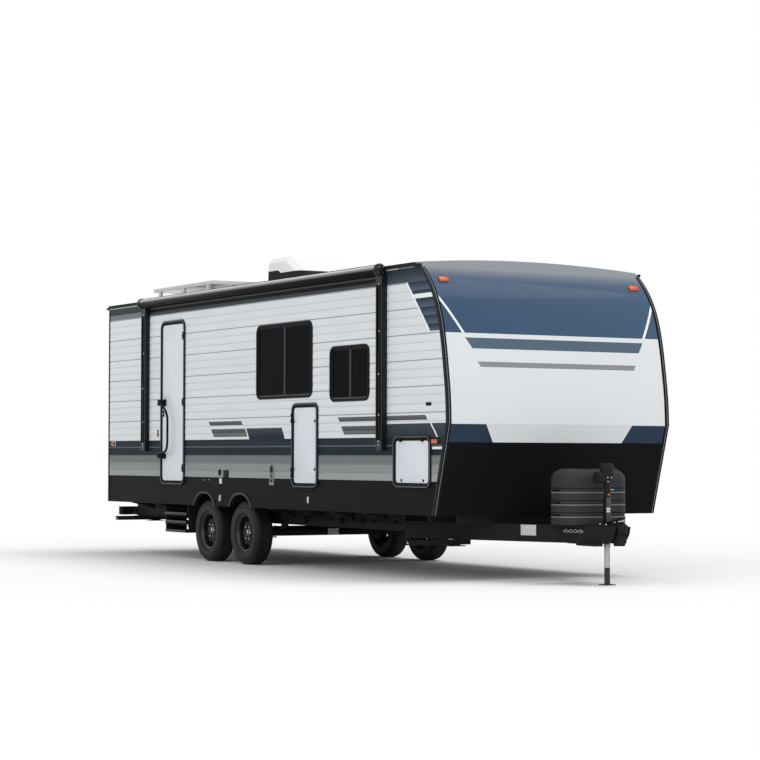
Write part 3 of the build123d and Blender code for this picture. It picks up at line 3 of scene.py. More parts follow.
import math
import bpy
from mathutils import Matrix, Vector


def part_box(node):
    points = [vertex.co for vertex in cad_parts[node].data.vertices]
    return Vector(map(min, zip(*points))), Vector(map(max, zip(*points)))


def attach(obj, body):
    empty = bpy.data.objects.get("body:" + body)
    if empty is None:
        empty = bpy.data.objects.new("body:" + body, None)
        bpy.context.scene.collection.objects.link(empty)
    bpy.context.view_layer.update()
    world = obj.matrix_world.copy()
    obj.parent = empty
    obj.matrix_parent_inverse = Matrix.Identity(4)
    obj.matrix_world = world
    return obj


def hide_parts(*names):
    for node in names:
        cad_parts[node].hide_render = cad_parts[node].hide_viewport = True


bl_info = {
    "name": "Travel caravan",
    "version": (1, 0, 0),
    "blender": (4, 5, 0),
    "location": "View3D > Sidebar > Caravan",
    "description": "Builds the caravan's detailed pieces, finishes and stage",
    "category": "Object",
}

import bmesh
import bpy
from mathutils import Matrix, Vector

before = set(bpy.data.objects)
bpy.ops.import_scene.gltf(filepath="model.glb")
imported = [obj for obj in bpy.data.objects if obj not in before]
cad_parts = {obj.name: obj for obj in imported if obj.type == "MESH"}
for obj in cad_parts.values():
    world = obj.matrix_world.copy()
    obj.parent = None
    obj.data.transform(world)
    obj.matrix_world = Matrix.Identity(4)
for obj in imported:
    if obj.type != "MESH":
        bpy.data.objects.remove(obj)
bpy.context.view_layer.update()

# Places in metres: x is measured from the rear wall's outer face and moved back by this much
REAR_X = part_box("rear_wall")[0].x

# Half the body's width, then how far frames, leaves, hinges and sashes reach along or out of the wall
HALF_WIDTH = 1.219
FRAME_FACE = 0.025
FRAME_PROUD = 0.014
LEAF_OUT = 0.006
LEAF_DEPTH = 0.030
LEAF_GAP = 0.005
HINGE_OUT = 0.026
HINGE_ASIDE = 0.012
BARREL_RADIUS = 0.008
BARREL_LENGTH = 0.027
STRAP_HALF = 0.011
STRAP_OUT = (0.0212, 0.0248)
FOOT_OUT = (LEAF_OUT - 0.001, 0.020)
SASH_BACK = -0.010
SASH_INNER = -0.018

# Where the laps of the siding start and end, and the middles of other parts
LAPS_FROM = 0.9
WALL_TOP = 2.86
WHEEL_HEIGHT = 0.3315
COVER_X = 8.050
JACK_X = 8.338
COUPLER_TIP = 8.612
BEAM_REAR = (6.250, 0.860)
BEAM_FRONT = (8.430, 0.062)
BEAM_SLOPE = 0.36606

# Openings: rear x, front x, bottom z, top z, corner radius
ENTRY_DOOR = (1.530, 2.100, 0.850, 2.610, 0.060)
LARGE_WINDOW = (3.895, 5.070, 1.740, 2.455, 0.060)
SMALL_WINDOW = (5.475, 6.205, 1.685, 2.175, 0.060)
TALL_HATCH = (4.700, 5.185, 0.855, 1.630, 0.045)
BAGGAGE_DOOR = (6.715, 7.320, 0.880, 1.290, 0.045)
OFF_REAR_WINDOW = (0.900, 1.650, 1.685, 2.175, 0.060)
OFF_MIDDLE_WINDOW = (4.200, 5.375, 1.740, 2.455, 0.060)
REAR_WINDOW = (-0.380, 0.380, 1.740, 2.300, 0.060)
LEAVES = {
    "entry_door": (ENTRY_DOOR, -1), "tall_hatch": (TALL_HATCH, -1),
    "door_side_baggage_door": (BAGGAGE_DOOR, -1), "off_side_baggage_door": (BAGGAGE_DOOR, 1),
}
FRONT_MARKER = (7.423, 1.269)
REAR_MARKER = (0.153, 1.277)

# Stripes of the side walls: rear and front slanted ends, each from upper to lower point, and tone
SIDE_STRIPES = (
    (((2.724, 1.503), (2.769, 1.460)), ((3.513, 1.503), (3.553, 1.460)), "grey"),
    (((2.789, 1.422), (2.857, 1.337)), ((3.605, 1.422), (3.661, 1.337)), "grey"),
    (((3.635, 1.423), (3.706, 1.310)), ((4.437, 1.423), (4.504, 1.310)), "dark"),
    (((5.605, 1.510), (5.649, 1.466)), ((7.242, 1.510), (7.287, 1.466)), "grey"),
    (((5.677, 1.423), (5.735, 1.342)), ((6.440, 1.423), (6.440, 1.342)), "grey"),
)
SLANT_STRIPE = (((7.326, 1.435), (7.443, 1.309)), ((7.350, 1.435), (7.467, 1.309)))
LAP_BASE = 0.5865
LAP_HEIGHT = 0.0792
LAP_LIP = 0.10
LAP_SHADE = 0.93

# Heights where the colours of the walls and of the front change
SKIRT_TOP = 0.908
PAINT_LOW = 1.262
BAND_TOP = 1.31
BROW_LOW = 2.246
WEDGE_LOW = 2.263
WEDGE_TOP = 2.73
TOP_BAND = 2.727

AXLES = (2.620, 3.490)
SPRING_Y = 0.860
WHEELS = {
    "door_side_rear": (AXLES[0], -1.080), "off_side_rear": (AXLES[0], 1.080),
    "door_side_front": (AXLES[1], -1.080), "off_side_front": (AXLES[1], 1.080),
}

# Camera of the photograph: picture and focal length in pixels, then its place and its turns in radians
SENSOR_WIDTH = 36.0
PICTURE_PIXELS = 760.0
FOCAL_PIXELS = 2230.0
CAMERA_PLACE = (24.469, -11.615, 1.131)
CAMERA_TURNS = (0.5226, 0.0344, 0.0021)
CAMERA_SIGHT = 600.0

# Suns: name, way to it, strength and spread in degrees. Sky and backdrop: colour and strength
SUNS = (
    ("key_light", (0.25, 0.35, 1.0), 1.15, 35.0), ("side_light", (0.35, -0.95, 0.50), 0.66, 60.0),
    ("front_light", (1.0, 0.05, 0.45), 0.36, 60.0),
)
SKY = ((0.985, 0.99, 1.0, 1.0), 0.62)
BACKDROP = ((1.0, 1.0, 1.0, 1.0), 1.0)


def along(x):
    """Row x of a distance from the rear wall."""
    return x + REAR_X


def tint(red, green, blue):
    """Linear colour of three screen values out of 255."""
    values = []
    for part in (red, green, blue):
        share = part / 255
        values.append(share / 12.92 if share <= 0.04045 else ((share + 0.055) / 1.055) ** 2.4)
    return (*values, 1.0)


# Tones of the side walls' lower laps, each up to a height
SIDE_LEVELS = (
    (1.145, tint(112, 120, 120)), (1.066, tint(140, 144, 144)), (0.987, tint(152, 155, 156)),
)


def colour_setting(name, description, default):
    """A colour that the panel shows."""
    return bpy.props.FloatVectorProperty(
        name=name, description=description, subtype="COLOR", size=4, min=0.0, max=1.0, default=default,
    )


def length_setting(name, description, default):
    """A length that the panel shows."""
    return bpy.props.FloatProperty(name=name, description=description, unit="LENGTH", default=default)


class CaravanFinish(bpy.types.PropertyGroup):
    """Colours of the body."""

    siding: colour_setting("Siding", "Colour of the side walls", tint(228, 231, 233))
    front: colour_setting("Front", "Colour of the front panel", tint(218, 221, 222))
    brow: colour_setting("Brow", "Colour of the upper front", tint(58, 80, 108))
    skirt: colour_setting("Skirt", "Colour of the lowest part of the walls", tint(18, 19, 21))
    band: colour_setting("Band", "Colour of the dark band along the sides", tint(37, 46, 55))


class CaravanSizes(bpy.types.PropertyGroup):
    """Sizes of the details that this file adds."""

    lap_height: length_setting("Lap height", "Height of one lap of the siding", LAP_HEIGHT)
    lap_depth: length_setting("Lap depth", "How far a lap stands proud of the next", 0.0035)
    tread_depth: length_setting("Tread depth", "Depth of the tyres' grooves", 0.007)
    floor_size: length_setting("Floor size", "Half the width of the studio floor", 220.0)


class Value:
    """A shader socket that can stand in an expression, which adds Math nodes."""

    def __init__(self, tree, socket):
        self.tree = tree
        self.socket = socket

    def maths(self, operation, *inputs):
        node = self.tree.nodes.new("ShaderNodeMath")
        node.operation = operation
        for slot, item in zip(node.inputs, inputs):
            if isinstance(item, Value):
                self.tree.links.new(item.socket, slot)
            else:
                slot.default_value = item
        return Value(self.tree, node.outputs[0])

    def __add__(self, other):
        return self.maths("ADD", self, other)

    def __radd__(self, other):
        return self.maths("ADD", other, self)

    def __sub__(self, other):
        return self.maths("SUBTRACT", self, other)

    def __rsub__(self, other):
        return self.maths("SUBTRACT", other, self)

    def __mul__(self, other):
        return self.maths("MULTIPLY", self, other)

    def __rmul__(self, other):
        return self.maths("MULTIPLY", other, self)

    def __truediv__(self, other):
        return self.maths("DIVIDE", self, other)

    def __gt__(self, other):
        return self.maths("GREATER_THAN", self, other)

    def __lt__(self, other):
        return self.maths("LESS_THAN", self, other)

    def __abs__(self):
        return self.maths("ABSOLUTE", self)

    def fraction(self):
        return self.maths("FRACT", self)

    def power(self, exponent):
        return self.maths("POWER", self, exponent)

    def either(self, other):
        return self.maths("MAXIMUM", self, other)

    def limited(self):
        return self.maths("MINIMUM", self.maths("MAXIMUM", self, 0.0), 1.0)


class Finish:
    """A material whose nodes are added by short calls."""

    def __init__(self, name, shine=0.035):
        self.material = bpy.data.materials.new(name)
        self.material.use_nodes = True
        self.tree = self.material.node_tree
        self.shader = self.tree.nodes["Principled BSDF"]
        self.shader.inputs["Specular IOR Level"].default_value = shine
        self.place = self.node("ShaderNodeTexCoord", {}, {}, "Object")
        split = self.node("ShaderNodeSeparateXYZ", {}, {0: self.place}).socket.node
        self.x, self.y, self.z = [Value(self.tree, part) for part in split.outputs]

    def fill(self, slot, value):
        """Link a socket to an input, or set the input to a number or colour."""
        if isinstance(value, Value):
            self.tree.links.new(value.socket, slot)
        else:
            slot.default_value = value

    def node(self, kind, settings, inputs, output=0):
        node = self.tree.nodes.new(kind)
        for key, value in settings.items():
            setattr(node, key, value)
        for key, value in inputs.items():
            self.fill(node.inputs[key], value)
        return Value(self.tree, node.outputs[output])

    def noise(self, scale, detail=2.0, stretch=(1.0, 1.0, 1.0)):
        place = self.node("ShaderNodeMapping", {}, {"Vector": self.place, "Scale": stretch})
        return self.node("ShaderNodeTexNoise", {}, {"Vector": place, "Scale": scale, "Detail": detail})

    def mix(self, factor, first, second):
        return self.node("ShaderNodeMix", {"data_type": "RGBA"}, {0: factor, 6: first, 7: second}, 2)

    def set(self, **values):
        for key, value in values.items():
            self.fill(self.shader.inputs[key.replace("_", " ").title()], value)

    def bump(self, height, distance, strength=1.0):
        inputs = {"Height": height, "Distance": distance, "Strength": strength}
        self.fill(self.shader.inputs["Normal"], self.node("ShaderNodeBump", {}, inputs, "Normal"))
        return self


# Plain finishes: colour, roughness, then grain, its depth, the spread of tone and the shine
PLAIN = {
    "black_trim": (tint(33, 35, 38), 0.42),
    "black_steel": (tint(37, 39, 41), 0.46, 160.0, 0.0008),
    "axle_steel": (tint(40, 41, 43), 0.52, 120.0, 0.0012),
    "liner_plastic": (tint(30, 30, 31), 0.70, 120.0, 0.001),
    "awning_casing": (tint(27, 28, 30), 0.34, 300.0, 0.0002, 0.12, 0.2),
    "awning_arm_inner": (tint(18, 19, 20), 0.38, 300.0, 0.0002),
    # Pale tone of the tyres' raised rings is a painted highlight on the black rubber
    "tyre_ring_highlight": (tint(92, 93, 98), 0.5),
    "rim_black": (tint(8, 9, 11), 0.22, 300.0, 0.0002, 0.08, 0.05),
    "rim_ring": (tint(26, 28, 31), 0.18, 300.0, 0.0002, 0.08, 0.4),
    "cover_plastic": (tint(60, 62, 64), 0.48, 520.0, 0.0008, 0.16),
    "cover_lip": (tint(122, 125, 128), 0.48, 520.0, 0.0004),
    "pale_alloy": (tint(208, 210, 212), 0.38, 300.0, 0.0002, 0.08),
    "gasket": (tint(20, 21, 22), 0.65, 200.0, 0.0004),
    "arch_lip": (tint(72, 74, 78), 0.45),
    # Pale grey: the real colour of the grey wall fitting, and a painted highlight on the thin rings along the
    # hatch frames' edges
    "grey_and_frame_highlight": (tint(128, 131, 135), 0.42),
    "sash_strip": (tint(92, 95, 98), 0.42),
    "handle_black": (tint(22, 23, 25), 0.30, 300.0, 0.0002),
    "blank_plate": (tint(196, 199, 200), 0.5, 200.0, 0.0001, 0.06),
    "step_black": (tint(13, 14, 16), 0.38, 200.0, 0.0004),
    "step_edge": (tint(86, 89, 92), 0.4, 200.0, 0.0003),
}
RECIPES = {}
FINISHES = {}


def recipe(maker):
    """Keep a function that makes a finish under the finish's name."""
    RECIPES[maker.__name__] = maker
    return maker


def finish(name):
    """The material of that name, made the first time it is asked for."""
    if name not in FINISHES:
        made = plain(name, *PLAIN[name]) if name in PLAIN else RECIPES[name]()
        FINISHES[name] = made.material
    return FINISHES[name]


def plain(name, colour, roughness, grain=240.0, depth=0.0004, spread=0.12, shine=0.035):
    """A finish with a fine grain and slight changes of tone and gloss."""
    made = Finish(name, shine)
    broad = made.noise(3.1, 3.0)
    darker = (*(part * (1 - 2 * spread) for part in colour[:3]), 1.0)
    made.set(base_color=made.mix(broad, darker, colour), roughness=roughness - spread / 2 + broad * spread)
    return made.bump(made.noise(grain, 4.0), depth)


def slanted(made, start, end):
    """1 ahead of a slanted line given by two points as x from the rear wall and z."""
    (x0, z0), (x1, z1) = start, end
    slope = (x1 - x0) / (z1 - z0)
    return made.x - (made.z - z0) * slope > along(x0)


def strip(value, low, high):
    """1 between two levels."""
    return (value > low) * (value < high)


def sheared(made, rear, ahead):
    """1 inside a parallelogram between two slanted lines, each from its upper to its lower point."""
    (_, high), (_, low) = rear
    return slanted(made, *rear) * (1 - slanted(made, *ahead)) * strip(made.z, low, high)


@recipe
def siding():
    colours = bpy.context.scene.caravan_finish
    made = Finish("siding")
    z, x = made.z, made.x
    dirt = made.noise(1.7, 4.0, (1.0, 1.0, 3.0))
    streak = made.noise(6.0, 3.0, (6.0, 6.0, 0.35))
    white = made.mix(dirt * 0.5, tuple(colours.siding), tint(203, 208, 212))
    white = made.mix(streak * 0.16, white, tint(176, 182, 186))
    lap = ((z - LAP_BASE) / LAP_HEIGHT).fraction()
    third = ((z - LAP_BASE) / (3 * LAP_HEIGHT)).fraction()
    # Painted shade of the laps: each lap is darker towards its lower and upper edges, and darkest at its top
    # (in_shade), under the lip of the lap above
    in_shade = lap > LAP_SHADE
    hollow = (lap - 0.55) * (lap - 0.55)
    white = made.mix(hollow * 0.55, white, tint(168, 174, 180))
    colour = made.mix(in_shade * 0.45, white, tint(150, 156, 162))
    colour = made.mix((third > 0.966) * 0.7, colour, tint(92, 98, 103))
    shades = {
        # The grey stripes are painted darker towards the lower edge of each lap: painted shade of the laps
        "grey": made.mix(lap, tint(70, 72, 76), tint(112, 113, 116)),
        "dark": made.mix((z - 1.316) / 0.107, tint(27, 34, 46), tint(62, 70, 80)),
    }
    for rear, ahead, shade in SIDE_STRIPES:
        colour = made.mix(sheared(made, rear, ahead), colour, shades[shade])
    ahead_of_stripe = (x > along(6.42)) * strip(z, 1.305, 1.435)
    shaded = made.mix((z - 1.30) / 0.135, tint(44, 56, 62), tint(60, 70, 78))
    colour = made.mix(ahead_of_stripe, colour, shaded)
    level = made.mix(z > 1.233, tint(34, 41, 50), tuple(colours.band))
    level = made.mix(strip(z, 1.226, 1.240), level, tint(84, 94, 102))
    for top, shade in SIDE_LEVELS:
        level = made.mix(1 - (z > top), level, shade)
    level = made.mix(in_shade * (z > 0.93) * 0.5, level, tint(30, 33, 36))
    level = made.mix(1 - (z > SKIRT_TOP), level, tuple(colours.skirt))
    colour = made.mix(z > BAND_TOP, level, colour)
    over = z > WEDGE_LOW
    edge = slanted(made, (6.893, WEDGE_TOP), (7.303, WEDGE_LOW)) * over
    wedge = slanted(made, (6.92, WEDGE_TOP), (7.33, WEDGE_LOW)) * over
    colour = made.mix(edge, colour, tint(238, 240, 242))
    # Inside the wedge, each lap is painted darker towards its top: painted shade of the laps
    colour = made.mix(wedge, colour, made.mix(lap, tint(84, 98, 112), tint(38, 48, 62)))
    colour = made.mix(wedge * strip(z, 2.572, 2.612), colour, tint(232, 236, 238))
    body_band = made.mix(z > 2.785, tint(112, 121, 127), tint(56, 64, 66))
    nose_band = made.mix((z - WEDGE_TOP) / 0.10, tint(72, 82, 94), tint(42, 53, 60))
    top = made.mix(x > along(6.52), body_band, nose_band)
    shadow = made.mix(z > 2.763, tint(64, 69, 71), tint(19, 20, 22))
    shadow = made.mix(z > 2.800, shadow, tint(76, 78, 80))
    shadow = made.mix(z > 2.818, shadow, tint(22, 23, 25))
    under_roll = strip(x, along(1.08), along(6.52)) * (made.y < 0)
    top = made.mix(under_roll, top, shadow)
    colour = made.mix(z > TOP_BAND, colour, made.mix(in_shade * 0.3, top, tint(34, 40, 46)))
    colour = made.mix(sheared(made, *SLANT_STRIPE), colour, tint(230, 233, 235))
    bar = strip(z, 1.200, 1.222) * (x > along(7.36))
    colour = made.mix(bar, colour, tint(232, 235, 236))
    # Faces of the walls that are not on the outer skin, such as reveals and the inner face, are painted dark:
    # painted shade
    inside_wall = (abs(made.y) < HALF_WIDTH - 0.004) * (x > along(0.02))
    colour = made.mix(inside_wall, colour, tint(30, 31, 33))
    made.set(base_color=colour, roughness=0.42 + dirt * 0.12)
    return made.bump(made.noise(900.0, 2.0), 0.00012)


def front_reach(made, near, far):
    """1 between two slanted lines on the front, each given by two points as y and z."""
    masks = []
    for (y0, z0), (y1, z1) in (near, far):
        slope = (y1 - y0) / (z1 - z0)
        masks.append(made.y - (made.z - z0) * slope > y0)
    return masks[0] * (1 - masks[1])


@recipe
def front_panel():
    colours = bpy.context.scene.caravan_finish
    made = Finish("front_panel")
    z = made.z
    dirt = made.noise(1.3, 4.0)
    white = made.mix(dirt * 0.4, tuple(colours.front), tint(208, 213, 216))
    # Painted light: the brow is painted lighter towards the off side
    across = ((made.y + HALF_WIDTH) / (2 * HALF_WIDTH)).limited()
    brow = made.mix(across * 0.7, tuple(colours.brow), tint(74, 96, 118))
    # Painted highlight: the brow turns pale grey towards the top of the front
    sheen = ((z - 2.70) / 0.17).limited()
    blue = made.mix(sheen * sheen, made.mix(dirt * 0.5, brow, tint(62, 84, 108)), tint(142, 145, 150))
    colour = made.mix(z > BROW_LOW, white, blue)
    slant_near = ((-1.190, 2.580), (-0.990, BROW_LOW))
    slant_far = ((1.206, 2.596), (1.010, BROW_LOW))
    for (y0, z0), (y1, z1) in (slant_near, slant_far):
        slope = (y1 - y0) / (z1 - z0)
        offset = made.y - (z - z0) * slope - y0
        line = strip(offset, -0.014, 0.014) * (z > BROW_LOW)
        colour = made.mix(line, colour, tint(232, 235, 238))
    slate = front_reach(made, ((-0.979, 2.204), (-0.914, 2.106)), ((0.992, 2.204), (0.933, 2.106)))
    colour = made.mix(slate * strip(z, 2.106, 2.204), colour, tint(84, 100, 116))
    grey = front_reach(made, ((-0.872, 1.988), (-0.840, 1.940)), ((0.882, 1.988), (0.858, 1.940)))
    colour = made.mix(grey * strip(z, 1.940, 1.988), colour, tint(136, 139, 141))
    low, high = PAINT_LOW, 1.425
    middle = front_reach(made, ((-0.813, high), (-0.712, low)), ((0.801, high), (0.712, low)))
    colour = made.mix((1 - middle) * strip(z, low, high), colour, tint(40, 56, 74))
    painted = z > PAINT_LOW
    colour = made.mix(painted, tuple(colours.skirt), colour)
    made.set(base_color=colour, roughness=0.46 - painted * 0.24 + dirt * 0.08, coat_weight=painted * 0.10)
    return made.bump(made.noise(14.0, 3.0), 0.0008)


@recipe
def roof_membrane():
    made = Finish("roof_membrane")
    broad = made.noise(1.4, 5.0)
    fine = made.noise(160.0, 3.0)
    colour = made.mix(broad, tint(196, 196, 192), tint(226, 227, 225))
    front_cap = (made.x > along(6.75)) * (made.z > WALL_TOP)
    made.set(base_color=made.mix(front_cap, colour, tint(138, 142, 149)), roughness=0.62)
    return made.bump(fine, 0.0009)


@recipe
def floor_board():
    made = Finish("floor_board")
    grain = made.noise(8.0, 6.0, (1.0, 14.0, 14.0))
    made.set(base_color=made.mix(grain, tint(46, 44, 42), tint(74, 70, 64)), roughness=0.8)
    return made.bump(grain, 0.001)


@recipe
def dark_glass():
    made = Finish("dark_glass", 0.014)
    wave = made.noise(2.0, 1.0)
    made.set(base_color=made.mix(wave, tint(3, 5, 9), tint(9, 11, 16)), roughness=0.06)
    return made.bump(wave, 0.002, 0.3)


@recipe
def white_leaf():
    made = Finish("white_leaf")
    dirt = made.noise(2.2, 4.0, (1.0, 1.0, 2.0))
    colour = made.mix(dirt, tint(208, 213, 220), tint(222, 226, 232))
    made.set(base_color=colour, roughness=0.34 + dirt * 0.1)
    return made.bump(made.noise(420.0, 2.0), 0.0003)


@recipe
def white_shroud():
    made = Finish("white_shroud")
    dirt = made.noise(2.6, 4.0)
    made.set(base_color=made.mix(dirt, tint(222, 223, 224), tint(240, 240, 241)), roughness=0.45)
    return made.bump(made.noise(520.0, 2.0), 0.0003)


@recipe
def awning_cloth():
    made = Finish("awning_cloth")
    weave = (made.x * 900.0).fraction() * ((made.z - made.y) * 900.0).fraction()
    broad = made.noise(2.0, 4.0, (0.4, 2.0, 2.0))
    # The top of the roll is painted nearly white: a painted highlight of the sky on the black cloth
    painted_top_highlight = ((made.z - 2.860) / 0.055).limited().power(1.5)
    cloth = made.mix(broad, tint(20, 20, 21), tint(28, 28, 29))
    made.set(base_color=made.mix(painted_top_highlight, cloth, tint(232, 233, 235)), roughness=0.42)
    return made.bump(weave, 0.0003)


@recipe
def bright_steel():
    made = Finish("bright_steel")
    brushed = made.noise(60.0, 3.0, (4.0, 4.0, 0.4))
    made.set(
        base_color=made.mix(brushed, tint(168, 170, 172), tint(205, 207, 209)), metallic=1.0,
        roughness=0.22 + brushed * 0.16,
    )
    return made.bump(brushed, 0.0002)


def lens(name, ribs, dark, light):
    """Moulded lens with level ribs, so many to the metre."""
    made = Finish(name)
    colour = made.mix(made.noise(30.0, 2.0), dark, light)
    made.set(base_color=colour, roughness=0.16, coat_weight=0.6)
    return made.bump((made.z * ribs).fraction(), 0.0012)


@recipe
def amber_lens():
    return lens("amber_lens", 260.0, tint(196, 84, 38), tint(226, 112, 52))


@recipe
def red_lens():
    return lens("red_lens", 220.0, tint(128, 18, 26), tint(170, 28, 34))


@recipe
def tyre_rubber():
    made = Finish("tyre_rubber", 0.14)
    dust = made.noise(7.0, 5.0)
    made.set(base_color=made.mix(dust, tint(24, 24, 28), tint(38, 38, 43)), roughness=0.58)
    return made.bump(made.noise(420.0, 3.0), 0.0006)


@recipe
def solar_cells():
    """Cells with their wires on top, and a pale border and underside."""
    made = Finish("solar_cells", 0.4)
    under = made.z < 3.070
    border = (abs(made.y + 0.600) > 0.311).either(abs(made.x - along(1.440)) > 0.761)
    columns = ((made.x - along(0.66)) / 0.156).fraction()
    across = made.y + 0.932
    lines = (columns < 0.035).either((across / 0.1660).fraction() < 0.035)
    wires = (across / 0.0415).fraction() < 0.05
    cells = made.mix(made.noise(9.0, 3.0), tint(20, 26, 40), tint(30, 38, 58))
    cells = made.mix(wires * 0.5, cells, tint(120, 124, 130))
    cells = made.mix(lines, cells, tint(150, 154, 160))
    made.set(
        base_color=made.mix(border.either(under), cells, tint(222, 224, 226)), roughness=0.16 + border * 0.3,
        coat_weight=0.4 - border * 0.4,
    )
    return made.bump(lines, 0.0004)


@recipe
def edge_moulding():
    """Black rail with a pale insert, where it turns round the front corner."""
    made = Finish("edge_moulding", 0.1)
    fine = made.noise(240.0, 4.0)
    insert = strip(abs(made.y), HALF_WIDTH - 0.018, HALF_WIDTH - 0.012)
    made.set(base_color=made.mix(insert, tint(24, 25, 28), tint(120, 125, 131)), roughness=0.4 + fine * 0.1)
    return made.bump(fine, 0.0003)


@recipe
def cooler_shell():
    """White cover above a black base, whose edge steps up toward the rear."""
    made = Finish("cooler_shell")
    dirt = made.noise(2.6, 4.0)
    split = 3.154 + (1.0 - ((made.x - along(2.62)) / 0.06).limited()) * 0.032
    colour = made.mix(dirt, tint(229, 230, 232), tint(242, 243, 244))
    base = made.mix(dirt, tint(28, 29, 31), tint(40, 41, 43))
    made.set(base_color=made.mix(made.z > split, base, colour), roughness=0.45)
    return made.bump(made.noise(520.0, 2.0), 0.0003)


@recipe
def jack_black():
    """Black casing, plated at the lower end of its tube."""
    made = Finish("jack_black", 0.10)
    fine = made.noise(420.0, 3.0)
    upper = made.z > 0.372
    made.set(
        base_color=made.mix(upper, tint(150, 153, 156), made.mix(fine, tint(22, 23, 25), tint(36, 37, 39))),
        metallic=0.8 - upper * 0.8, roughness=0.40 + fine * 0.1,
    )
    return made.bump(fine, 0.0004)


@recipe
def sleeve_grey():
    made = Finish("sleeve_grey")
    fine = made.noise(240.0, 3.0)
    panel = strip(made.y, -0.024, 0.022) * (made.x > along(JACK_X))
    label = panel * strip(made.z, 0.644, 0.660).either(strip(made.z, 0.665, 0.684)) * (made.y < 0.010)
    colour = made.mix(panel, tint(26, 27, 29), tint(76, 80, 84))
    made.set(base_color=made.mix(label, colour, tint(204, 206, 208)), roughness=0.42 + fine * 0.1)
    return made.bump(fine, 0.0003)


@recipe
def jack_tube():
    """Plated tube whose drop leg is darker."""
    made = Finish("jack_tube")
    brushed = made.noise(60.0, 3.0, (4.0, 4.0, 0.4))
    upper = made.z > 0.155
    plated = made.mix(brushed, tint(140, 144, 147), tint(182, 186, 188))
    colour = made.mix(upper, tint(58, 60, 62), plated)
    made.set(base_color=colour, metallic=upper * 0.9, roughness=0.34 + brushed * 0.16)
    return made.bump(brushed, 0.0002)


# Shapes


def pour(source, target):
    """Add one bmesh to another."""
    holder = bpy.data.meshes.new("holder")
    source.to_mesh(holder)
    source.free()
    target.from_mesh(holder)
    bpy.data.meshes.remove(holder)


def about(middle, half):
    """Range that lies evenly about a middle."""
    return middle - half, middle + half


def edges_at(verts):
    """Edges that meet at some corners, each of them once."""
    return list(dict.fromkeys(e for v in verts for e in v.link_edges))


def sharp(edges):
    """Those of some edges where the surface turns by more than a radian."""
    return [e for e in edges if e.calc_face_angle(0) > 1.0]


def soften(mesh, edges, offset, segments=2):
    """Round edges off."""
    bmesh.ops.bevel(
        mesh, geom=edges, offset=offset, segments=segments, affect="EDGES", profile=0.5, material=-1,
    )


def thicken(mesh, faces, vec):
    """Turn flat faces into a solid that reaches along a vector."""
    extruded = bmesh.ops.extrude_face_region(mesh, geom=faces)
    moved = [v for v in extruded["geom"] if isinstance(v, bmesh.types.BMVert)]
    bmesh.ops.translate(mesh, verts=moved, vec=vec)
    bmesh.ops.recalc_face_normals(mesh, faces=mesh.faces)


def hollow(mesh, face, width):
    """Leave a ring of a face, and give its faces back."""
    bmesh.ops.inset_region(mesh, faces=[face], thickness=width, depth=0.0, use_boundary=True)
    bmesh.ops.delete(mesh, geom=[face], context="FACES")
    return list(mesh.faces)


def add_box(mesh, x, y, z, edge=0.0, segments=2):
    """Box between two corners with rounded edges."""
    ranges = (x, y, z)
    size = [high - low for low, high in ranges]
    middle = Matrix.Translation([(low + high) / 2 for low, high in ranges])
    made = bmesh.ops.create_cube(mesh, size=1.0, matrix=middle @ Matrix.Diagonal((*size, 1)))
    if edge:
        soften(mesh, edges_at(made["verts"]), edge, segments)


def add_wall_box(mesh, side, x, out, z, edge, segments=2):
    """Box on a side wall: x from the rear wall, and two distances out from the side."""
    add_box(mesh, (along(x[0]), along(x[1])), wall_reach(side, *out), z, edge, segments)


def add_rod(mesh, start, end, radius, sides=24, edge=0.0):
    """Round bar between two points, with rounded rims."""
    start, end = Vector(start), Vector(end)
    way = end - start
    turn = way.to_track_quat("Z", "Y").to_matrix().to_4x4()
    made = bmesh.ops.create_cone(
        mesh, cap_ends=True, segments=sides, radius1=radius, radius2=radius, depth=way.length,
        matrix=Matrix.Translation((start + end) / 2) @ turn,
    )
    if edge:
        soften(mesh, sharp(edges_at(made["verts"])), edge)


def rounded_face(mesh, width, height, radius, place, segments=6):
    """Flat round-cornered face in a plane's own X and Y."""
    shift = Matrix.Diagonal((width / 2, height / 2, 1, 1))
    made = bmesh.ops.create_grid(mesh, x_segments=1, y_segments=1, size=1.0, matrix=place @ shift)
    bmesh.ops.bevel(
        mesh, geom=made["verts"], offset=radius, segments=segments, affect="VERTICES", profile=0.5,
        offset_type="OFFSET", material=-1,
    )
    mesh.faces.ensure_lookup_table()
    return mesh.faces[-1]


def add_side_plate(mesh, opening, side, grow, start, end, edge=0.0, ring=None):
    """Round-cornered plate, or a ring of it, over an opening, between two distances out from the wall."""
    x0, x1, z0, z1, radius = opening
    place = Matrix.Translation((along((x0 + x1) / 2), side * (HALF_WIDTH + start), (z0 + z1) / 2))
    turn = Matrix(((1, 0, 0, 0), (0, 0, side, 0), (0, 1, 0, 0), (0, 0, 0, 1)))
    sub = bmesh.new()
    face = rounded_face(sub, x1 - x0 + 2 * grow, z1 - z0 + 2 * grow, radius + grow, place @ turn)
    faces = [face] if ring is None else hollow(sub, face, ring)
    thicken(sub, faces, (0, side * (end - start), 0))
    if edge:
        level = side * (HALF_WIDTH + end)
        outer = [e for e in sub.edges if all(abs(v.co.y - level) < 1e-6 for v in e.verts)]
        soften(sub, sharp(outer), edge)
    pour(sub, mesh)


def add_side_ring(mesh, opening, side, outer, inner, start, end, edge=0.0):
    """Round-cornered frame around an opening, from one reach to another."""
    add_side_plate(mesh, opening, side, outer, start, end, edge, outer - inner)


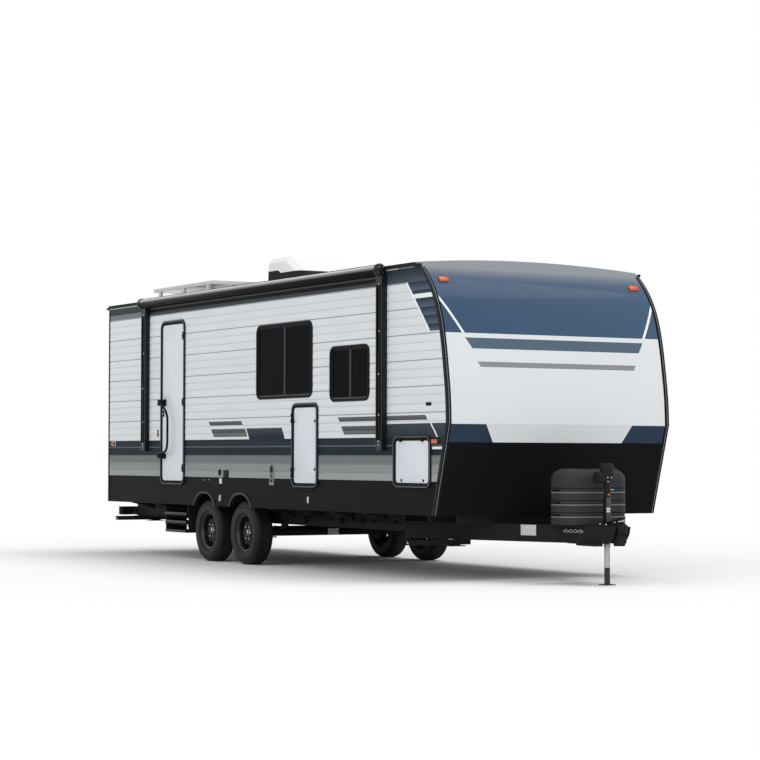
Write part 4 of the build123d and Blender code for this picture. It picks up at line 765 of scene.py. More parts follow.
def add_turned(mesh, profile, centre, axis, steps=48):
    """Shape turned from a profile of distances along an axis and radii."""
    axis = Vector(axis).normalized()
    aside = axis.orthogonal().normalized()
    sub = bmesh.new()
    points = [sub.verts.new(Vector(centre) + axis * reach + aside * radius) for reach, radius in profile]
    edges = [sub.edges.new(pair) for pair in zip(points, points[1:])]
    bmesh.ops.spin(
        sub, geom=points + edges, cent=centre, axis=axis, angle=2 * math.pi, steps=steps, use_merge=True,
    )
    bmesh.ops.remove_doubles(sub, verts=sub.verts, dist=1e-6)
    bmesh.ops.recalc_face_normals(sub, faces=sub.faces)
    pour(sub, mesh)


def cad_copy(node):
    """A CAD node's shape as a bmesh with its doubles merged."""
    mesh = bmesh.new()
    mesh.from_mesh(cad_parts[node].data)
    bmesh.ops.remove_doubles(mesh, verts=mesh.verts, dist=1e-5)
    return mesh


def put(name, mesh, material, body="trailer", replaces=(), angle=32.0):
    """Make a piece of a bmesh and hand it to a body of the frame."""
    data = bpy.data.meshes.new(name)
    mesh.to_mesh(data)
    mesh.free()
    data.shade_smooth()
    data.set_sharp_from_angle(angle=math.radians(angle))
    data.materials.append(finish(material))
    piece = bpy.data.objects.new(name, data)
    bpy.context.scene.collection.objects.link(piece)
    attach(piece, body)
    if replaces:
        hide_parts(*replaces)


def dress(material, *nodes):
    """Give CAD nodes a better finish."""
    for node in nodes:
        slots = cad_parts[node].data.materials
        slots.clear()
        slots.append(finish(material))


def lap_offset(z, height, depth):
    """How far the siding stands proud at a height: each lap leans out towards its lower edge."""
    share = ((z - LAP_BASE) / height) % 1.0
    if share < LAP_LIP:
        return depth * share / LAP_LIP
    return depth * (1 - (share - LAP_LIP) / (1 - LAP_LIP))


class Builder(bpy.types.Operator):
    """Base of the operators that build pieces"""

    bl_idname = "caravan.piece"
    bl_label = "Caravan piece"
    bl_options = {"REGISTER", "UNDO"}

    def execute(self, context):
        self.build(context.scene)
        return {"FINISHED"}


class CARAVAN_OT_walls(Builder):
    """Side and rear walls with the laps of their siding"""

    bl_idname = "caravan.walls"
    bl_label = "Walls"

    def build(self, scene):
        sizes = scene.caravan_sizes
        height, depth = sizes.lap_height, sizes.lap_depth
        for node in ("door_side_wall", "off_side_wall", "rear_wall"):
            mesh = cad_copy(node)
            level = LAP_BASE
            while level < WALL_TOP:
                for z in (level, level + LAP_LIP * height):
                    bmesh.ops.bisect_plane(
                        mesh, geom=list(mesh.verts) + list(mesh.edges) + list(mesh.faces), dist=1e-6,
                        plane_co=(0, 0, z), plane_no=(0, 0, 1),
                    )
                level += height
            for vert in mesh.verts:
                if vert.co.z < LAPS_FROM:
                    continue
                proud = lap_offset(vert.co.z, height, depth)
                if node == "rear_wall":
                    if vert.co.x < REAR_X + 1e-4:
                        vert.co.x -= proud
                elif abs(abs(vert.co.y) - HALF_WIDTH) < 1e-4:
                    vert.co.y += math.copysign(proud, vert.co.y)
            put(node.replace("_wall", "_siding"), mesh, "siding", replaces=(node,), angle=8.0)


class CARAVAN_OT_shell(Builder):
    """Front panel, roof, mouldings, gutters and arch lips"""

    bl_idname = "caravan.shell"
    bl_label = "Front, roof and trims"

    def build(self, scene):
        dress("front_panel", "front_wall")
        dress("roof_membrane", "roof")
        dress("edge_moulding", "corner_mouldings")
        dress("black_trim", "roof_gutters")
        dress("arch_lip", "arch_trims")
        seals = bmesh.new()
        for x, y, half_x, half_y in ((4.6, 0.3, 0.235, 0.235), (2.75, 0.0, 0.42, 0.32)):
            for side in (-1, 1):
                z = (roof_height(y) - 0.02, roof_height(y) + 0.004)
                ends = sorted((y + side * half_y, y + side * (half_y + 0.03)))
                add_box(seals, (along(x - half_x), along(x + half_x)), ends, z, 0.004)
        put("roof_sealant", seals, "white_shroud")


def roof_height(y):
    """Height of the crowned roof at a distance from the middle."""
    edge, crown = 2.905, 0.060
    radius = (HALF_WIDTH ** 2 + crown ** 2) / (2 * crown)
    return edge + crown - radius + math.sqrt(radius ** 2 - y ** 2)


class CARAVAN_OT_windows(Builder):
    """Window frames, sashes, gaskets and panes"""

    bl_idname = "caravan.windows"
    bl_label = "Windows"

    def build(self, scene):
        dress("dark_glass", "window_panes")
        frames, seals, strips, rear = (bmesh.new() for _ in range(4))
        places = (
            (LARGE_WINDOW, -1), (SMALL_WINDOW, -1), (OFF_REAR_WINDOW, 1), (OFF_MIDDLE_WINDOW, 1),
        )
        for opening, side in places:
            x0, x1, z0, z1, radius = opening
            middle = (x0 + x1) / 2
            # Mesh, outer and inner distance past the opening, start and end out of the wall, edge
            rings = (
                (frames, FRAME_FACE, 0.0, 0.0, FRAME_PROUD - 0.003, 0.003),
                (frames, FRAME_FACE - 0.010, 0.005, FRAME_PROUD - 0.004, FRAME_PROUD, 0.003),
                (frames, 0.0, SASH_INNER, SASH_BACK, 0.002, 0.002),
                (seals, SASH_INNER, SASH_INNER - 0.009, SASH_BACK, -0.005, 0.0),
            )
            for mesh, *reach in rings:
                add_side_ring(mesh, opening, side, *reach)
            # Mesh, x, distance out of the wall, z and edge
            bars = (
                (frames, (middle - 0.018, middle + 0.010), 0.001, (z0 + 0.002, z1 - 0.002), 0.003),
                (strips, (middle + 0.010, middle + 0.018), 0.003, (z0 + 0.012, z1 - 0.012), 0.001),
                (strips, (x0 + 0.030, x1 - 0.030), 0.006, (z0 + 0.003, z0 + 0.013), 0.003),
            )
            for mesh, x, out, z, edge in bars:
                add_wall_box(mesh, side, x, (SASH_BACK, out), z, edge)
            for share in (0.25, 0.75):
                centre = x0 + (x1 - x0) * share
                x = about(centre, 0.03)
                add_wall_box(seals, side, x, (SASH_BACK, 0.006), (z0 + 0.016, z0 + 0.024), 0.002)
        put("side_window_frames", frames, "black_trim", replaces=("window_frames",))
        put("window_gaskets", seals, "gasket")
        put("window_sash_strips", strips, "sash_strip")
        y0, y1, z0, z1, radius = REAR_WINDOW
        turn = Matrix(((0, 0, -1, 0), (1, 0, 0, 0), (0, 1, 0, 0), (0, 0, 0, 1)))
        place = Matrix.Translation((REAR_X - FRAME_PROUD, 0, (z0 + z1) / 2)) @ turn
        grow = 2 * FRAME_FACE
        face = rounded_face(rear, y1 - y0 + grow, z1 - z0 + grow, radius + FRAME_FACE, place)
        thicken(rear, hollow(rear, face, 0.042), (FRAME_PROUD + 0.008, 0, 0))
        soften(rear, sharp(rear.edges), 0.003)
        put("rear_window_frame", rear, "black_trim")


def wall_reach(side, low, high):
    """Y range between two distances out from a side wall."""
    return sorted((side * (HALF_WIDTH + low), side * (HALF_WIDTH + high)))


def add_dome(mesh, point, normal, radius, height, sides=12):
    """Low domed head, such as a screw's or a rivet's."""
    normal = Vector(normal).normalized()
    profile = [(0.0, radius), (height * 0.5, radius * 0.92), (height * 0.9, radius * 0.55), (height, 0.0)]
    add_turned(mesh, profile, point, normal, sides)


def add_hinge_strap(mesh, axis_x, axis_z, toward, side):
    """Leaf half of a hinge: barrel, strap over the frame's edge and its foot on the leaf."""
    y = side * (HALF_WIDTH + HINGE_OUT)
    half = BARREL_LENGTH / 2
    add_rod(mesh, (axis_x, y, axis_z - half), (axis_x, y, axis_z + half), BARREL_RADIUS, 16, 0.001)
    z = about(axis_z, STRAP_HALF)
    strap = sorted((axis_x, axis_x + toward * 0.036))
    foot = sorted((axis_x + toward * 0.022, axis_x + toward * 0.036))
    add_box(mesh, strap, wall_reach(side, *STRAP_OUT), z, 0.001)
    add_box(mesh, foot, wall_reach(side, *FOOT_OUT), z, 0.002)


def add_lid_strap(mesh, centre_x, axis_z, side):
    """The same for a leaf that is hinged along its upper edge."""
    y = side * (HALF_WIDTH + HINGE_OUT)
    half = BARREL_LENGTH / 2
    add_rod(mesh, (centre_x - half, y, axis_z), (centre_x + half, y, axis_z), BARREL_RADIUS, 16, 0.001)
    x = about(centre_x, 0.0132)
    add_box(mesh, x, wall_reach(side, *STRAP_OUT), (axis_z - 0.034, axis_z), 0.001)
    add_box(mesh, x, wall_reach(side, *FOOT_OUT), (axis_z - 0.034, axis_z - 0.022), 0.002)


class CARAVAN_OT_doors(Builder):
    """Entry door, hatches, baggage doors and the grab handle"""

    bl_idname = "caravan.doors"
    bl_label = "Doors and hatches"

    def build(self, scene):
        dress("black_trim", "hatch_frames")
        frames, edges = bmesh.new(), bmesh.new()
        for node, (opening, side) in LEAVES.items():
            x0, x1, z0, z1, radius = opening
            skin, seal, straps = (bmesh.new() for _ in range(3))
            add_side_plate(skin, opening, side, -LEAF_GAP, LEAF_OUT - LEAF_DEPTH, LEAF_OUT, 0.003)
            put(node + "_leaf", skin, "white_leaf", body=node, replaces=(node,))
            add_side_ring(seal, opening, side, -0.0055, -0.013, LEAF_OUT - 0.004, LEAF_OUT + 0.0015, 0.001)
            put(node + "_seal", seal, "gasket", body=node)
            add_side_ring(frames, opening, side, FRAME_FACE + 0.008, -0.0008, 0.0, FRAME_PROUD + 0.004, 0.004)
            # A thin pale ring along each frame's outer edge: a painted highlight on the black frame
            reach = (FRAME_FACE + 0.001, FRAME_FACE - 0.004)
            add_side_ring(edges, opening, side, *reach, FRAME_PROUD, FRAME_PROUD + 0.0046)
            if "baggage" in node:
                for x in (x0 + 0.110, x1 - 0.110):
                    add_lid_strap(straps, along(x), z1 + HINGE_ASIDE, side)
            elif node == "entry_door":
                for z in (z0 + 0.150, z1 - 0.150, (z0 + z1) / 2):
                    add_hinge_strap(straps, along(x1 + HINGE_ASIDE), z, -1, side)
            else:
                for z in (z0 + 0.150, z1 - 0.150):
                    add_hinge_strap(straps, along(x0 - HINGE_ASIDE), z, 1, side)
            put(node + "_straps", straps, "black_trim", body=node)
        put("hatch_frame_faces", frames, "black_trim")
        put("hatch_frame_edges", edges, "grey_and_frame_highlight")
        self.handle()
        self.lock()
        for node in list(LEAVES)[1:]:
            self.latches(node, *LEAVES[node])

    def handle(self):
        """Grab handle and its two pads on the entry door."""
        bar, pads = bmesh.new(), bmesh.new()
        foot, out = 0.020, 0.088
        path = [
            (1.598, foot, 1.742), (1.598, out, 1.742), (1.640, out, 1.735), (1.800, out, 1.640),
            (1.850, out, 1.560), (1.850, out, 1.275), (1.825, out, 1.200), (1.760, out, 1.172),
            (1.598, out, 1.166), (1.598, foot, 1.166),
        ]
        add_tube(bar, [Vector((along(x), -HALF_WIDTH - reach, z)) for x, reach, z in path], 0.0125)
        put("grab_handle_bar", bar, "handle_black", "entry_door", ("grab_handle",))
        for low, high in ((1.692, 1.768), (1.104, 1.160)):
            add_wall_box(pads, -1, (1.556, 1.640), (LEAF_OUT - 0.001, 0.030), (low, high), 0.005)
            add_wall_box(pads, -1, (1.572, 1.624), (0.028, 0.090), (low + 0.004, high - 0.004), 0.010, 3)
            for x in (1.564, 1.632):
                add_dome(pads, (along(x), -HALF_WIDTH - 0.0295, (low + high) / 2), (0, -1, 0), 0.006, 0.003)
        put("handle_pads", pads, "black_trim", body="entry_door")

    def lock(self):
        """Lock of the entry door, with its bright core."""
        lock, core = bmesh.new(), bmesh.new()
        x, z = 1.566, 1.608
        out = (LEAF_OUT - 0.001, 0.015)
        add_wall_box(lock, -1, about(x, 0.022), out, about(z, 0.034), 0.007, 3)
        put("door_lock", lock, "handle_black", body="entry_door")
        face = -HALF_WIDTH - LEAF_OUT
        add_rod(core, (along(x), face - 0.004, z), (along(x), face - 0.0125, z), 0.011, 20, 0.001)
        put("door_lock_core", core, "bright_steel", body="entry_door")

    def latches(self, node, opening, side):
        """Two round latches on a hatch, each with a slot."""
        x0, x1, z0, z1, radius = opening
        latch, cores = bmesh.new(), bmesh.new()
        points = [(x0 + 0.115, z0 + 0.035), (x1 - 0.100, z0 + 0.035)]
        if node == "tall_hatch":
            points = [(x1 - 0.035, z0 + 0.150), (x1 - 0.035, z1 - 0.150)]
        profile = [(0.0, 0.013), (0.005, 0.013), (0.008, 0.010), (0.008, 0.0)]
        for x, z in points:
            centre = (along(x), side * (HALF_WIDTH + LEAF_OUT), z)
            add_turned(latch, profile, centre, (0, side, 0), 24)
            out = (LEAF_OUT + 0.006, LEAF_OUT + 0.012)
            add_wall_box(cores, side, about(x, 0.007), out, about(z, 0.003), 0.001)
        put(node + "_latches", latch, "handle_black", body=node)
        put(node + "_latch_cores", cores, "bright_steel", body=node)


def add_tube(mesh, points, radius, sides=16, rounding=4):
    """Round bar through points, with its corners rounded."""
    path = [points[0]]
    for before, corner, after in zip(points, points[1:], points[2:]):
        reach = min(0.030, (corner - before).length * 0.45, (after - corner).length * 0.45)
        start = corner + (before - corner).normalized() * reach
        end = corner + (after - corner).normalized() * reach
        for step in range(rounding + 1):
            share = step / rounding
            path.append(start.lerp(corner, share).lerp(corner.lerp(end, share), share))
    path.append(points[-1])
    sub = bmesh.new()
    rings = []
    for number, point in enumerate(path):
        way = path[min(number + 1, len(path) - 1)] - path[max(number - 1, 0)]
        turn = way.to_track_quat("Z", "X").to_matrix().to_4x4()
        made = bmesh.ops.create_circle(
            sub, cap_ends=False, segments=sides, radius=radius, matrix=Matrix.Translation(point) @ turn,
        )
        rings.append(edges_at(made["verts"]))
    for first, second in zip(rings, rings[1:]):
        bmesh.ops.bridge_loops(sub, edges=first + second)
    bmesh.ops.holes_fill(sub, edges=rings[0] + rings[-1], sides=sides)
    bmesh.ops.recalc_face_normals(sub, faces=sub.faces)
    pour(sub, mesh)


def add_slab(mesh, start, end, width, thick, edge):
    """Flat bar of a width along Y between two points."""
    start, end = Vector(start), Vector(end)
    length = (end - start).length
    sub = bmesh.new()
    add_box(sub, (-thick / 2, thick / 2), (-width / 2, width / 2), (-length / 2, length / 2), edge)
    place = axes((start + end) / 2, Vector((0, 1, 0)).cross((end - start) / length), Vector((0, 1, 0)))
    bmesh.ops.transform(sub, matrix=place, verts=sub.verts)
    pour(sub, mesh)


def axes(centre, first, second):
    """Matrix that puts a shape at a point with its X and Y along two directions."""
    turn = Matrix((first, second, first.cross(second))).transposed().to_4x4()
    return Matrix.Translation(centre) @ turn


class CARAVAN_OT_awning(Builder):
    """Folded awning: rolled cloth, its end heads and the arms"""

    bl_idname = "caravan.awning"
    bl_label = "Awning"

    def build(self, scene):
        dress("awning_casing", "awning_arms")
        roll, flap, heads, bolts, inner = (bmesh.new() for _ in range(5))
        y, z = -1.285, 2.870
        rear, front = along(1.060), along(6.555)
        start, end = rear + 0.050, front - 0.050
        width, cap = front - rear, 0.044
        profile = [(cap, 0.0), (cap, 0.0472), (width - cap, 0.0472), (width - cap, 0.0)]
        add_turned(roll, profile, (rear, y, z), (1, 0, 0), 56)
        put("awning_roll", roll, "awning_cloth", replaces=("awning_roller",))
        add_box(flap, (start, end), (y - 0.0505, y - 0.0440), (z - 0.030, z - 0.004), 0.002)
        add_box(flap, (start, end), about(y, 0.0200), (z + 0.0440, z + 0.0500), 0.003)
        add_rod(flap, (start, y - 0.030, z - 0.0400), (end, y - 0.030, z - 0.0400), 0.007, 12, 0.001)
        put("awning_flap", flap, "awning_arm_inner")
        profile = [
            (0.0, 0.0), (0.001, 0.022), (0.005, 0.043), (0.014, 0.056), (0.022, 0.0597), (cap, 0.0597),
            (0.046, 0.056), (0.046, 0.0),
        ]
        for x, way in ((rear, 1), (front, -1)):
            add_turned(heads, profile, (x, y, z), (way, 0, 0), 48)
            for aside, up in around(4, 0.034, math.pi / 4):
                add_dome(bolts, (x + way * 0.006, y + aside, z + up), (-way, 0, 0), 0.005, 0.004, 8)
        put("awning_heads", heads, "awning_casing")
        # Half width, y, z and edge
        bars = (
            (0.024, (-1.274, -1.262), (1.30, 2.74), 0.003), (0.017, (-1.279, -1.270), (1.34, 2.05), 0.003),
            (0.034, (-1.280, -1.250), (1.215, 1.300), 0.006),
            (0.034, (-1.280, -1.250), (2.700, 2.800), 0.006),
        )
        bolt_places = [(height, 1.2795) for height in (1.240, 1.275, 1.52, 1.90, 2.74)] + [(2.30, 1.2735)]
        for x in (along(1.115), along(6.500)):
            for half, reach, heights, edge in bars:
                add_box(inner, about(x, half), reach, heights, edge)
            for height, out in bolt_places:
                add_dome(bolts, (x, -out, height), (0, -1, 0), 0.009, 0.004, 12)
        put("awning_inner_arms", inner, "awning_arm_inner")
        put("awning_bolts", bolts, "bright_steel")


class CARAVAN_OT_roof_equipment(Builder):
    """Air conditioner, solar panel and vent"""

    bl_idname = "caravan.roof_equipment"
    bl_label = "Roof equipment"

    def build(self, scene):
        dress("cooler_shell", "air_conditioner")
        dress("solar_cells", "solar_panel")
        dress("white_shroud", "roof_vent_frame", "roof_vent_lid")
        grilles, rails, feet, lid = (bmesh.new() for _ in range(4))
        rear, front = along(2.320), along(3.180)
        for number in range(11):
            y = -0.25 + number * 0.048
            add_box(grilles, (rear - 0.0005, rear + 0.03), (y, y + 0.026), (3.00, 3.15), 0.003, 1)
        add_box(grilles, (rear + 0.03, front - 0.05), (-0.318, 0.318), (2.958, 3.018), 0.006)
        put("air_conditioner_grilles", grilles, "gasket")
        x0, x1, y0, y1 = along(0.650), along(2.230), -0.940, -0.260
        for x in ((x0 - 0.003, x0 + 0.026), (x1 - 0.026, x1 + 0.003)):
            add_box(rails, x, (y0 - 0.003, y1 + 0.003), (3.038, 3.0775), 0.002)
        for y in ((y0 - 0.002, y0 + 0.026), (y1 - 0.026, y1 + 0.002)):
            add_box(rails, (x0 - 0.002, x1 + 0.002), y, (3.0385, 3.077), 0.002)
        for x in (x0 + 0.15, (x0 + x1) / 2, x1 - 0.15):
            for y, ends in ((y0, (y0 + 0.002, y0 + 0.034)), (y1, (y1 - 0.002, y1 + 0.030))):
                add_box(feet, about(x, 0.026), ends, (roof_height(y) - 0.004, 3.040), 0.003)
        put("solar_panel_rails", rails, "pale_alloy")
        put("solar_panel_feet", feet, "pale_alloy")
        cx, cy = along(4.600), 0.300
        add_box(lid, about(cx, 0.180), about(cy, 0.180), (3.050, 3.064), 0.008, 3)
        for number in range(5):
            x = cx - 0.13 + number * 0.065
            add_box(lid, about(x, 0.006), about(cy, 0.165), (3.060, 3.068), 0.002, 1)
        put("roof_vent_lid_ribs", lid, "white_shroud", body="roof_vent_lid")


class CARAVAN_OT_lamps(Builder):
    """Marker, side and tail lamps"""

    bl_idname = "caravan.lamps"
    bl_label = "Lamps"

    def build(self, scene):
        lenses, bezels, pale = (bmesh.new() for _ in range(3))
        cad = cad_copy("amber_lamps")
        across = Vector((0, 1, 0))
        for side in (-1, 1):
            ways = {}
            for face in cad.faces:
                middle = face.calc_center_median()
                if middle.z > 2.5 and middle.y * side > 0 and face.normal.x > 0.2:
                    way = tuple(round(part, 2) for part in face.normal)
                    ways.setdefault(way, []).append(face)
            best = max(ways, key=lambda way: sum(face.calc_area() for face in ways[way]))
            ahead = Vector(best).normalized()
            corners = [v.co for face in ways[best] for v in face.verts]
            low, high = (Vector([pick(values) for values in zip(*corners)]) for pick in (min, max))
            sub = bmesh.new()
            add_box(sub, (-0.052, 0.052), (-0.028, 0.028), (-0.030, 0.000), 0.012, 3)
            place = axes((low + high) / 2, across, ahead.cross(across))
            bmesh.ops.transform(sub, matrix=place, verts=sub.verts)
            pour(sub, lenses)
            # Mesh, middle, half length and height, distances out of the wall, edge and its segments
            plates = (
                (lenses, FRONT_MARKER, 0.046, 0.019, (0.004, 0.024), 0.006, 3),
                (bezels, FRONT_MARKER, 0.056, 0.027, (-0.001, 0.007), 0.005, 2),
                (pale, REAR_MARKER, 0.056, 0.028, (-0.001, 0.007), 0.005, 2),
            )
            for mesh, (x, z), half_x, half_z, out, edge, segments in plates:
                add_wall_box(mesh, side, about(x, half_x), out, about(z, half_z), edge, segments)
            y = side * 0.950
            add_box(bezels, (REAR_X - 0.012, REAR_X + 0.001), about(y, 0.055), (0.930, 1.190), 0.006)
            for z in (0.990, 1.050, 1.110):
                x = (REAR_X - 0.0245, REAR_X - 0.020)
                add_box(pale, x, about(y, 0.043), (z, z + 0.004), 0.001, 1)
        cad.free()
        put("amber_lenses", lenses, "amber_lens", replaces=("amber_lamps",))
        dress("red_lens", "red_lamps")
        put("lamp_bezels", bezels, "black_trim")
        put("lamp_backs", pale, "pale_alloy")


class CARAVAN_OT_fittings(Builder):
    """Outlets, vents and covers on the walls, all blank"""

    bl_idname = "caravan.fittings"
    bl_label = "Wall fittings"

    def build(self, scene):
        black, pale, bright, grey, plate, blank = (bmesh.new() for _ in range(6))
        profile = [(0.0, 0.034), (0.008, 0.034), (0.012, 0.028), (0.012, 0.0)]
        add_turned(black, profile, (along(3.011), -HALF_WIDTH, 0.960), (0, -1, 0), 28)
        # Mesh, x, distances out of the wall, z, edge and its segments
        boxes = (
            (black, (3.105, 3.225), (-0.001, 0.013), (0.905, 0.985), 0.006, 2),
            (black, (7.262, 7.350), (-0.001, 0.012), (1.592, 1.622), 0.010, 3),
            (black, (1.400, 1.424), (-0.001, 0.010), (1.350, 1.430), 0.004, 2),
            (pale, (3.000, 3.062), (-0.001, 0.006), (0.840, 0.898), 0.003, 2),
            (pale, (3.008, 3.040), (-0.001, 0.006), (0.655, 0.722), 0.014, 3),
            (pale, (4.985, 5.018), (-0.001, 0.005), (0.672, 0.735), 0.003, 2),
            (grey, (4.172, 4.274), (-0.001, 0.009), (0.838, 1.048), 0.005, 2),
            (black, (4.200, 4.246), (0.006, 0.0105), (0.872, 0.900), 0.004, 2),
            (black, (4.212, 4.234), (0.006, 0.0105), (0.915, 0.950), 0.004, 2),
            (black, (4.192, 4.254), (0.006, 0.0105), (0.968, 1.034), 0.004, 2),
            (black, (4.925, 5.105), (-0.001, 0.010), (0.800, 0.812), 0.003, 1),
        )
        for mesh, x, out, z, edge, segments in boxes:
            add_wall_box(mesh, -1, x, out, z, edge, segments)
        screws = [(2.610, 0.0, 0.876), (2.735, 0.0, 0.880)]
        screws += [(x, 0.0085, z) for z in (0.848, 1.038) for x in (4.182, 4.264)]
        for x, out, z in screws:
            add_dome(bright, (along(x), -HALF_WIDTH - out, z), (0, -1, 0), 0.007, 0.004, 10)
        self.off_side(black, pale)
        put("wall_fittings_black", black, "black_trim")
        put("wall_fittings_pale", pale, "pale_alloy")
        put("wall_fittings_grey", grey, "grey_and_frame_highlight")
        put("wall_fitting_screws", bright, "bright_steel")
        add_box(plate, (REAR_X - 0.010, REAR_X + 0.001), (-0.16, 0.16), (0.760, 0.920), 0.004)
        put("rear_plate_back", plate, "black_trim")
        add_box(blank, (REAR_X - 0.0125, REAR_X - 0.009), (-0.150, 0.150), (0.768, 0.912), 0.002)
        put("rear_blank_plate", blank, "blank_plate")

    def off_side(self, black, pale):
        """Appliance vents and supply inlets, which such a vehicle has on this side."""
        white = bmesh.new()
        x, half_x, half_z = 5.750, 0.210, 0.150
        for z in (1.450, 2.480):
            low, high = z - half_z, z + half_z
            add_side_plate(white, (x - half_x, x + half_x, low, high, 0.020), 1, 0.0, -0.001, 0.008, 0.003)
            gap = (x - half_x + 0.025, x + half_x - 0.025, low + 0.03, high - 0.03, 0.008)
            add_side_plate(black, gap, 1, 0.0, 0.0075, 0.0088)
            for number in range(7):
                blade = low + 0.045 + number * 0.034
                ends = (x - half_x + 0.03, x + half_x - 0.03)
                add_wall_box(white, 1, ends, (0.005, 0.014), (blade, blade + 0.020), 0.004)
        heater = (1.950, 2.270, 1.020, 1.340, 0.020)
        add_side_plate(white, heater, 1, 0.0, -0.001, 0.009, 0.003)
        add_side_ring(white, heater, 1, 0.0, -0.018, 0.008, 0.013, 0.002)
        profile = [(0.0, 0.044), (0.010, 0.044), (0.016, 0.036), (0.016, 0.026), (0.006, 0.024), (0.006, 0.0)]
        for x in (4.620, 4.760):
            add_turned(pale, profile, (along(x), HALF_WIDTH, 1.060), (0, 1, 0), 28)
        for x, z in ((0.480, 1.120), (0.480, 0.880), (6.200, 1.120)):
            opening = (x - 0.062, x + 0.062, z - 0.062, z + 0.062, 0.018)
            add_side_plate(black, opening, 1, 0.0, -0.001, 0.010, 0.003)
            add_side_plate(black, opening, 1, -0.014, 0.009, 0.018, 0.004)
        put("off_side_vents", white, "white_shroud")


class CARAVAN_OT_chassis(Builder):
    """Rails, axles, springs, bumper, floor and stabilisers"""

    bl_idname = "caravan.chassis"
    bl_label = "Chassis"

    def build(self, scene):
        dress("floor_board", "floor")
        dress("liner_plastic", "wheel_liners")
        dress("black_steel", "frame_rails", "underframe_members", "rear_bumper", "stabiliser_housings")
        dress("axle_steel", "axles", "leaf_springs", "spring_hangers")
        dress("black_steel", *(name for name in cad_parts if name.endswith("_stabiliser_leg")))
        bolts, pipes, tags, caps, screws = (bmesh.new() for _ in range(5))
        for x in AXLES:
            for side in (-1, 1):
                y = side * SPRING_Y
                for dx in (-0.052, 0.052):
                    for dy in (-0.030, 0.030):
                        px, py = along(x + dx), y + dy
                        add_rod(bolts, (px, py, 0.285), (px, py, 0.412), 0.006, 8)
                        add_dome(bolts, (px, py, 0.286), (0, 0, -1), 0.011, 0.010, 6)
                ends = about(along(x), 0.066)
                add_box(bolts, ends, about(y, 0.044), (0.279, 0.289), 0.002)
        put("spring_bolts", bolts, "axle_steel")
        self.pipes(pipes)
        put("underfloor_pipes", pipes, "liner_plastic")
        tag = along(AXLES[1])
        add_box(tags, (tag + 0.0385, tag + 0.0405), (-0.19, -0.06), (0.298, 0.366), 0.001)
        put("axle_blank_tag", tags, "blank_plate")
        for side in (-1, 1):
            ends = sorted((side * 1.0195, side * 1.000))
            add_box(caps, (REAR_X - 0.148, REAR_X - 0.056), ends, (0.440, 0.532), 0.006)
            for x, z in ((0.200, 0.407), (6.900, 0.344)):
                add_rod(screws, (along(x), side * 1.191, z), (along(x), side * 1.205, z), 0.012, 6, 0.002)
        put("bumper_caps", caps, "liner_plastic")
        put("stabiliser_screw_heads", screws, "bright_steel")

    def pipes(self, mesh):
        """Gas line, drains and their hangers under the floor."""
        y = -0.955
        add_rod(mesh, (along(3.95), y, 0.505), (along(6.35), y, 0.505), 0.010, 12)
        for x in (4.20, 4.55, 4.98, 5.45, 5.85, 6.25):
            add_box(mesh, about(along(x), 0.012), about(y, 0.016), (0.490, 0.530), 0.003)
        for x, low, reach in (
            (4.40, 0.480, 0.030), (4.47, 0.462, 0.022), (5.20, 0.472, 0.040), (5.62, 0.486, 0.030),
        ):
            add_box(mesh, about(along(x), reach), (-0.990, -0.930), (low, 0.531), 0.006)
        for (x0, y0, z0), (x1, y1, z1), radius in (
            ((4.30, -0.70, 0.500), (4.30, 1.08, 0.470), 0.041),
            ((4.62, 0.20, 0.545), (4.62, 1.05, 0.520), 0.022),
            ((4.30, 1.07, 0.470), (4.30, 1.13, 0.470), 0.052),
            ((1.80, 0.95, 0.520), (1.80, 1.12, 0.520), 0.020),
        ):
            add_rod(mesh, (along(x0), y0, z0), (along(x1), y1, z1), radius, 24, 0.004)


def add_band(mesh, low, size, radius, height):
    """Thin rounded ring that lies flat, standing on a point."""
    sub = bmesh.new()
    face = rounded_face(sub, *size, radius, Matrix.Translation(low))
    thicken(sub, hollow(sub, face, 0.006), (0, 0, height))
    pour(sub, mesh)


def around(number, radius, first=0.0):
    """Places evenly round a circle, as two distances from its middle."""
    for step in range(number):
        turn = first + step * 2 * math.pi / number
        yield radius * math.cos(turn), radius * math.sin(turn)


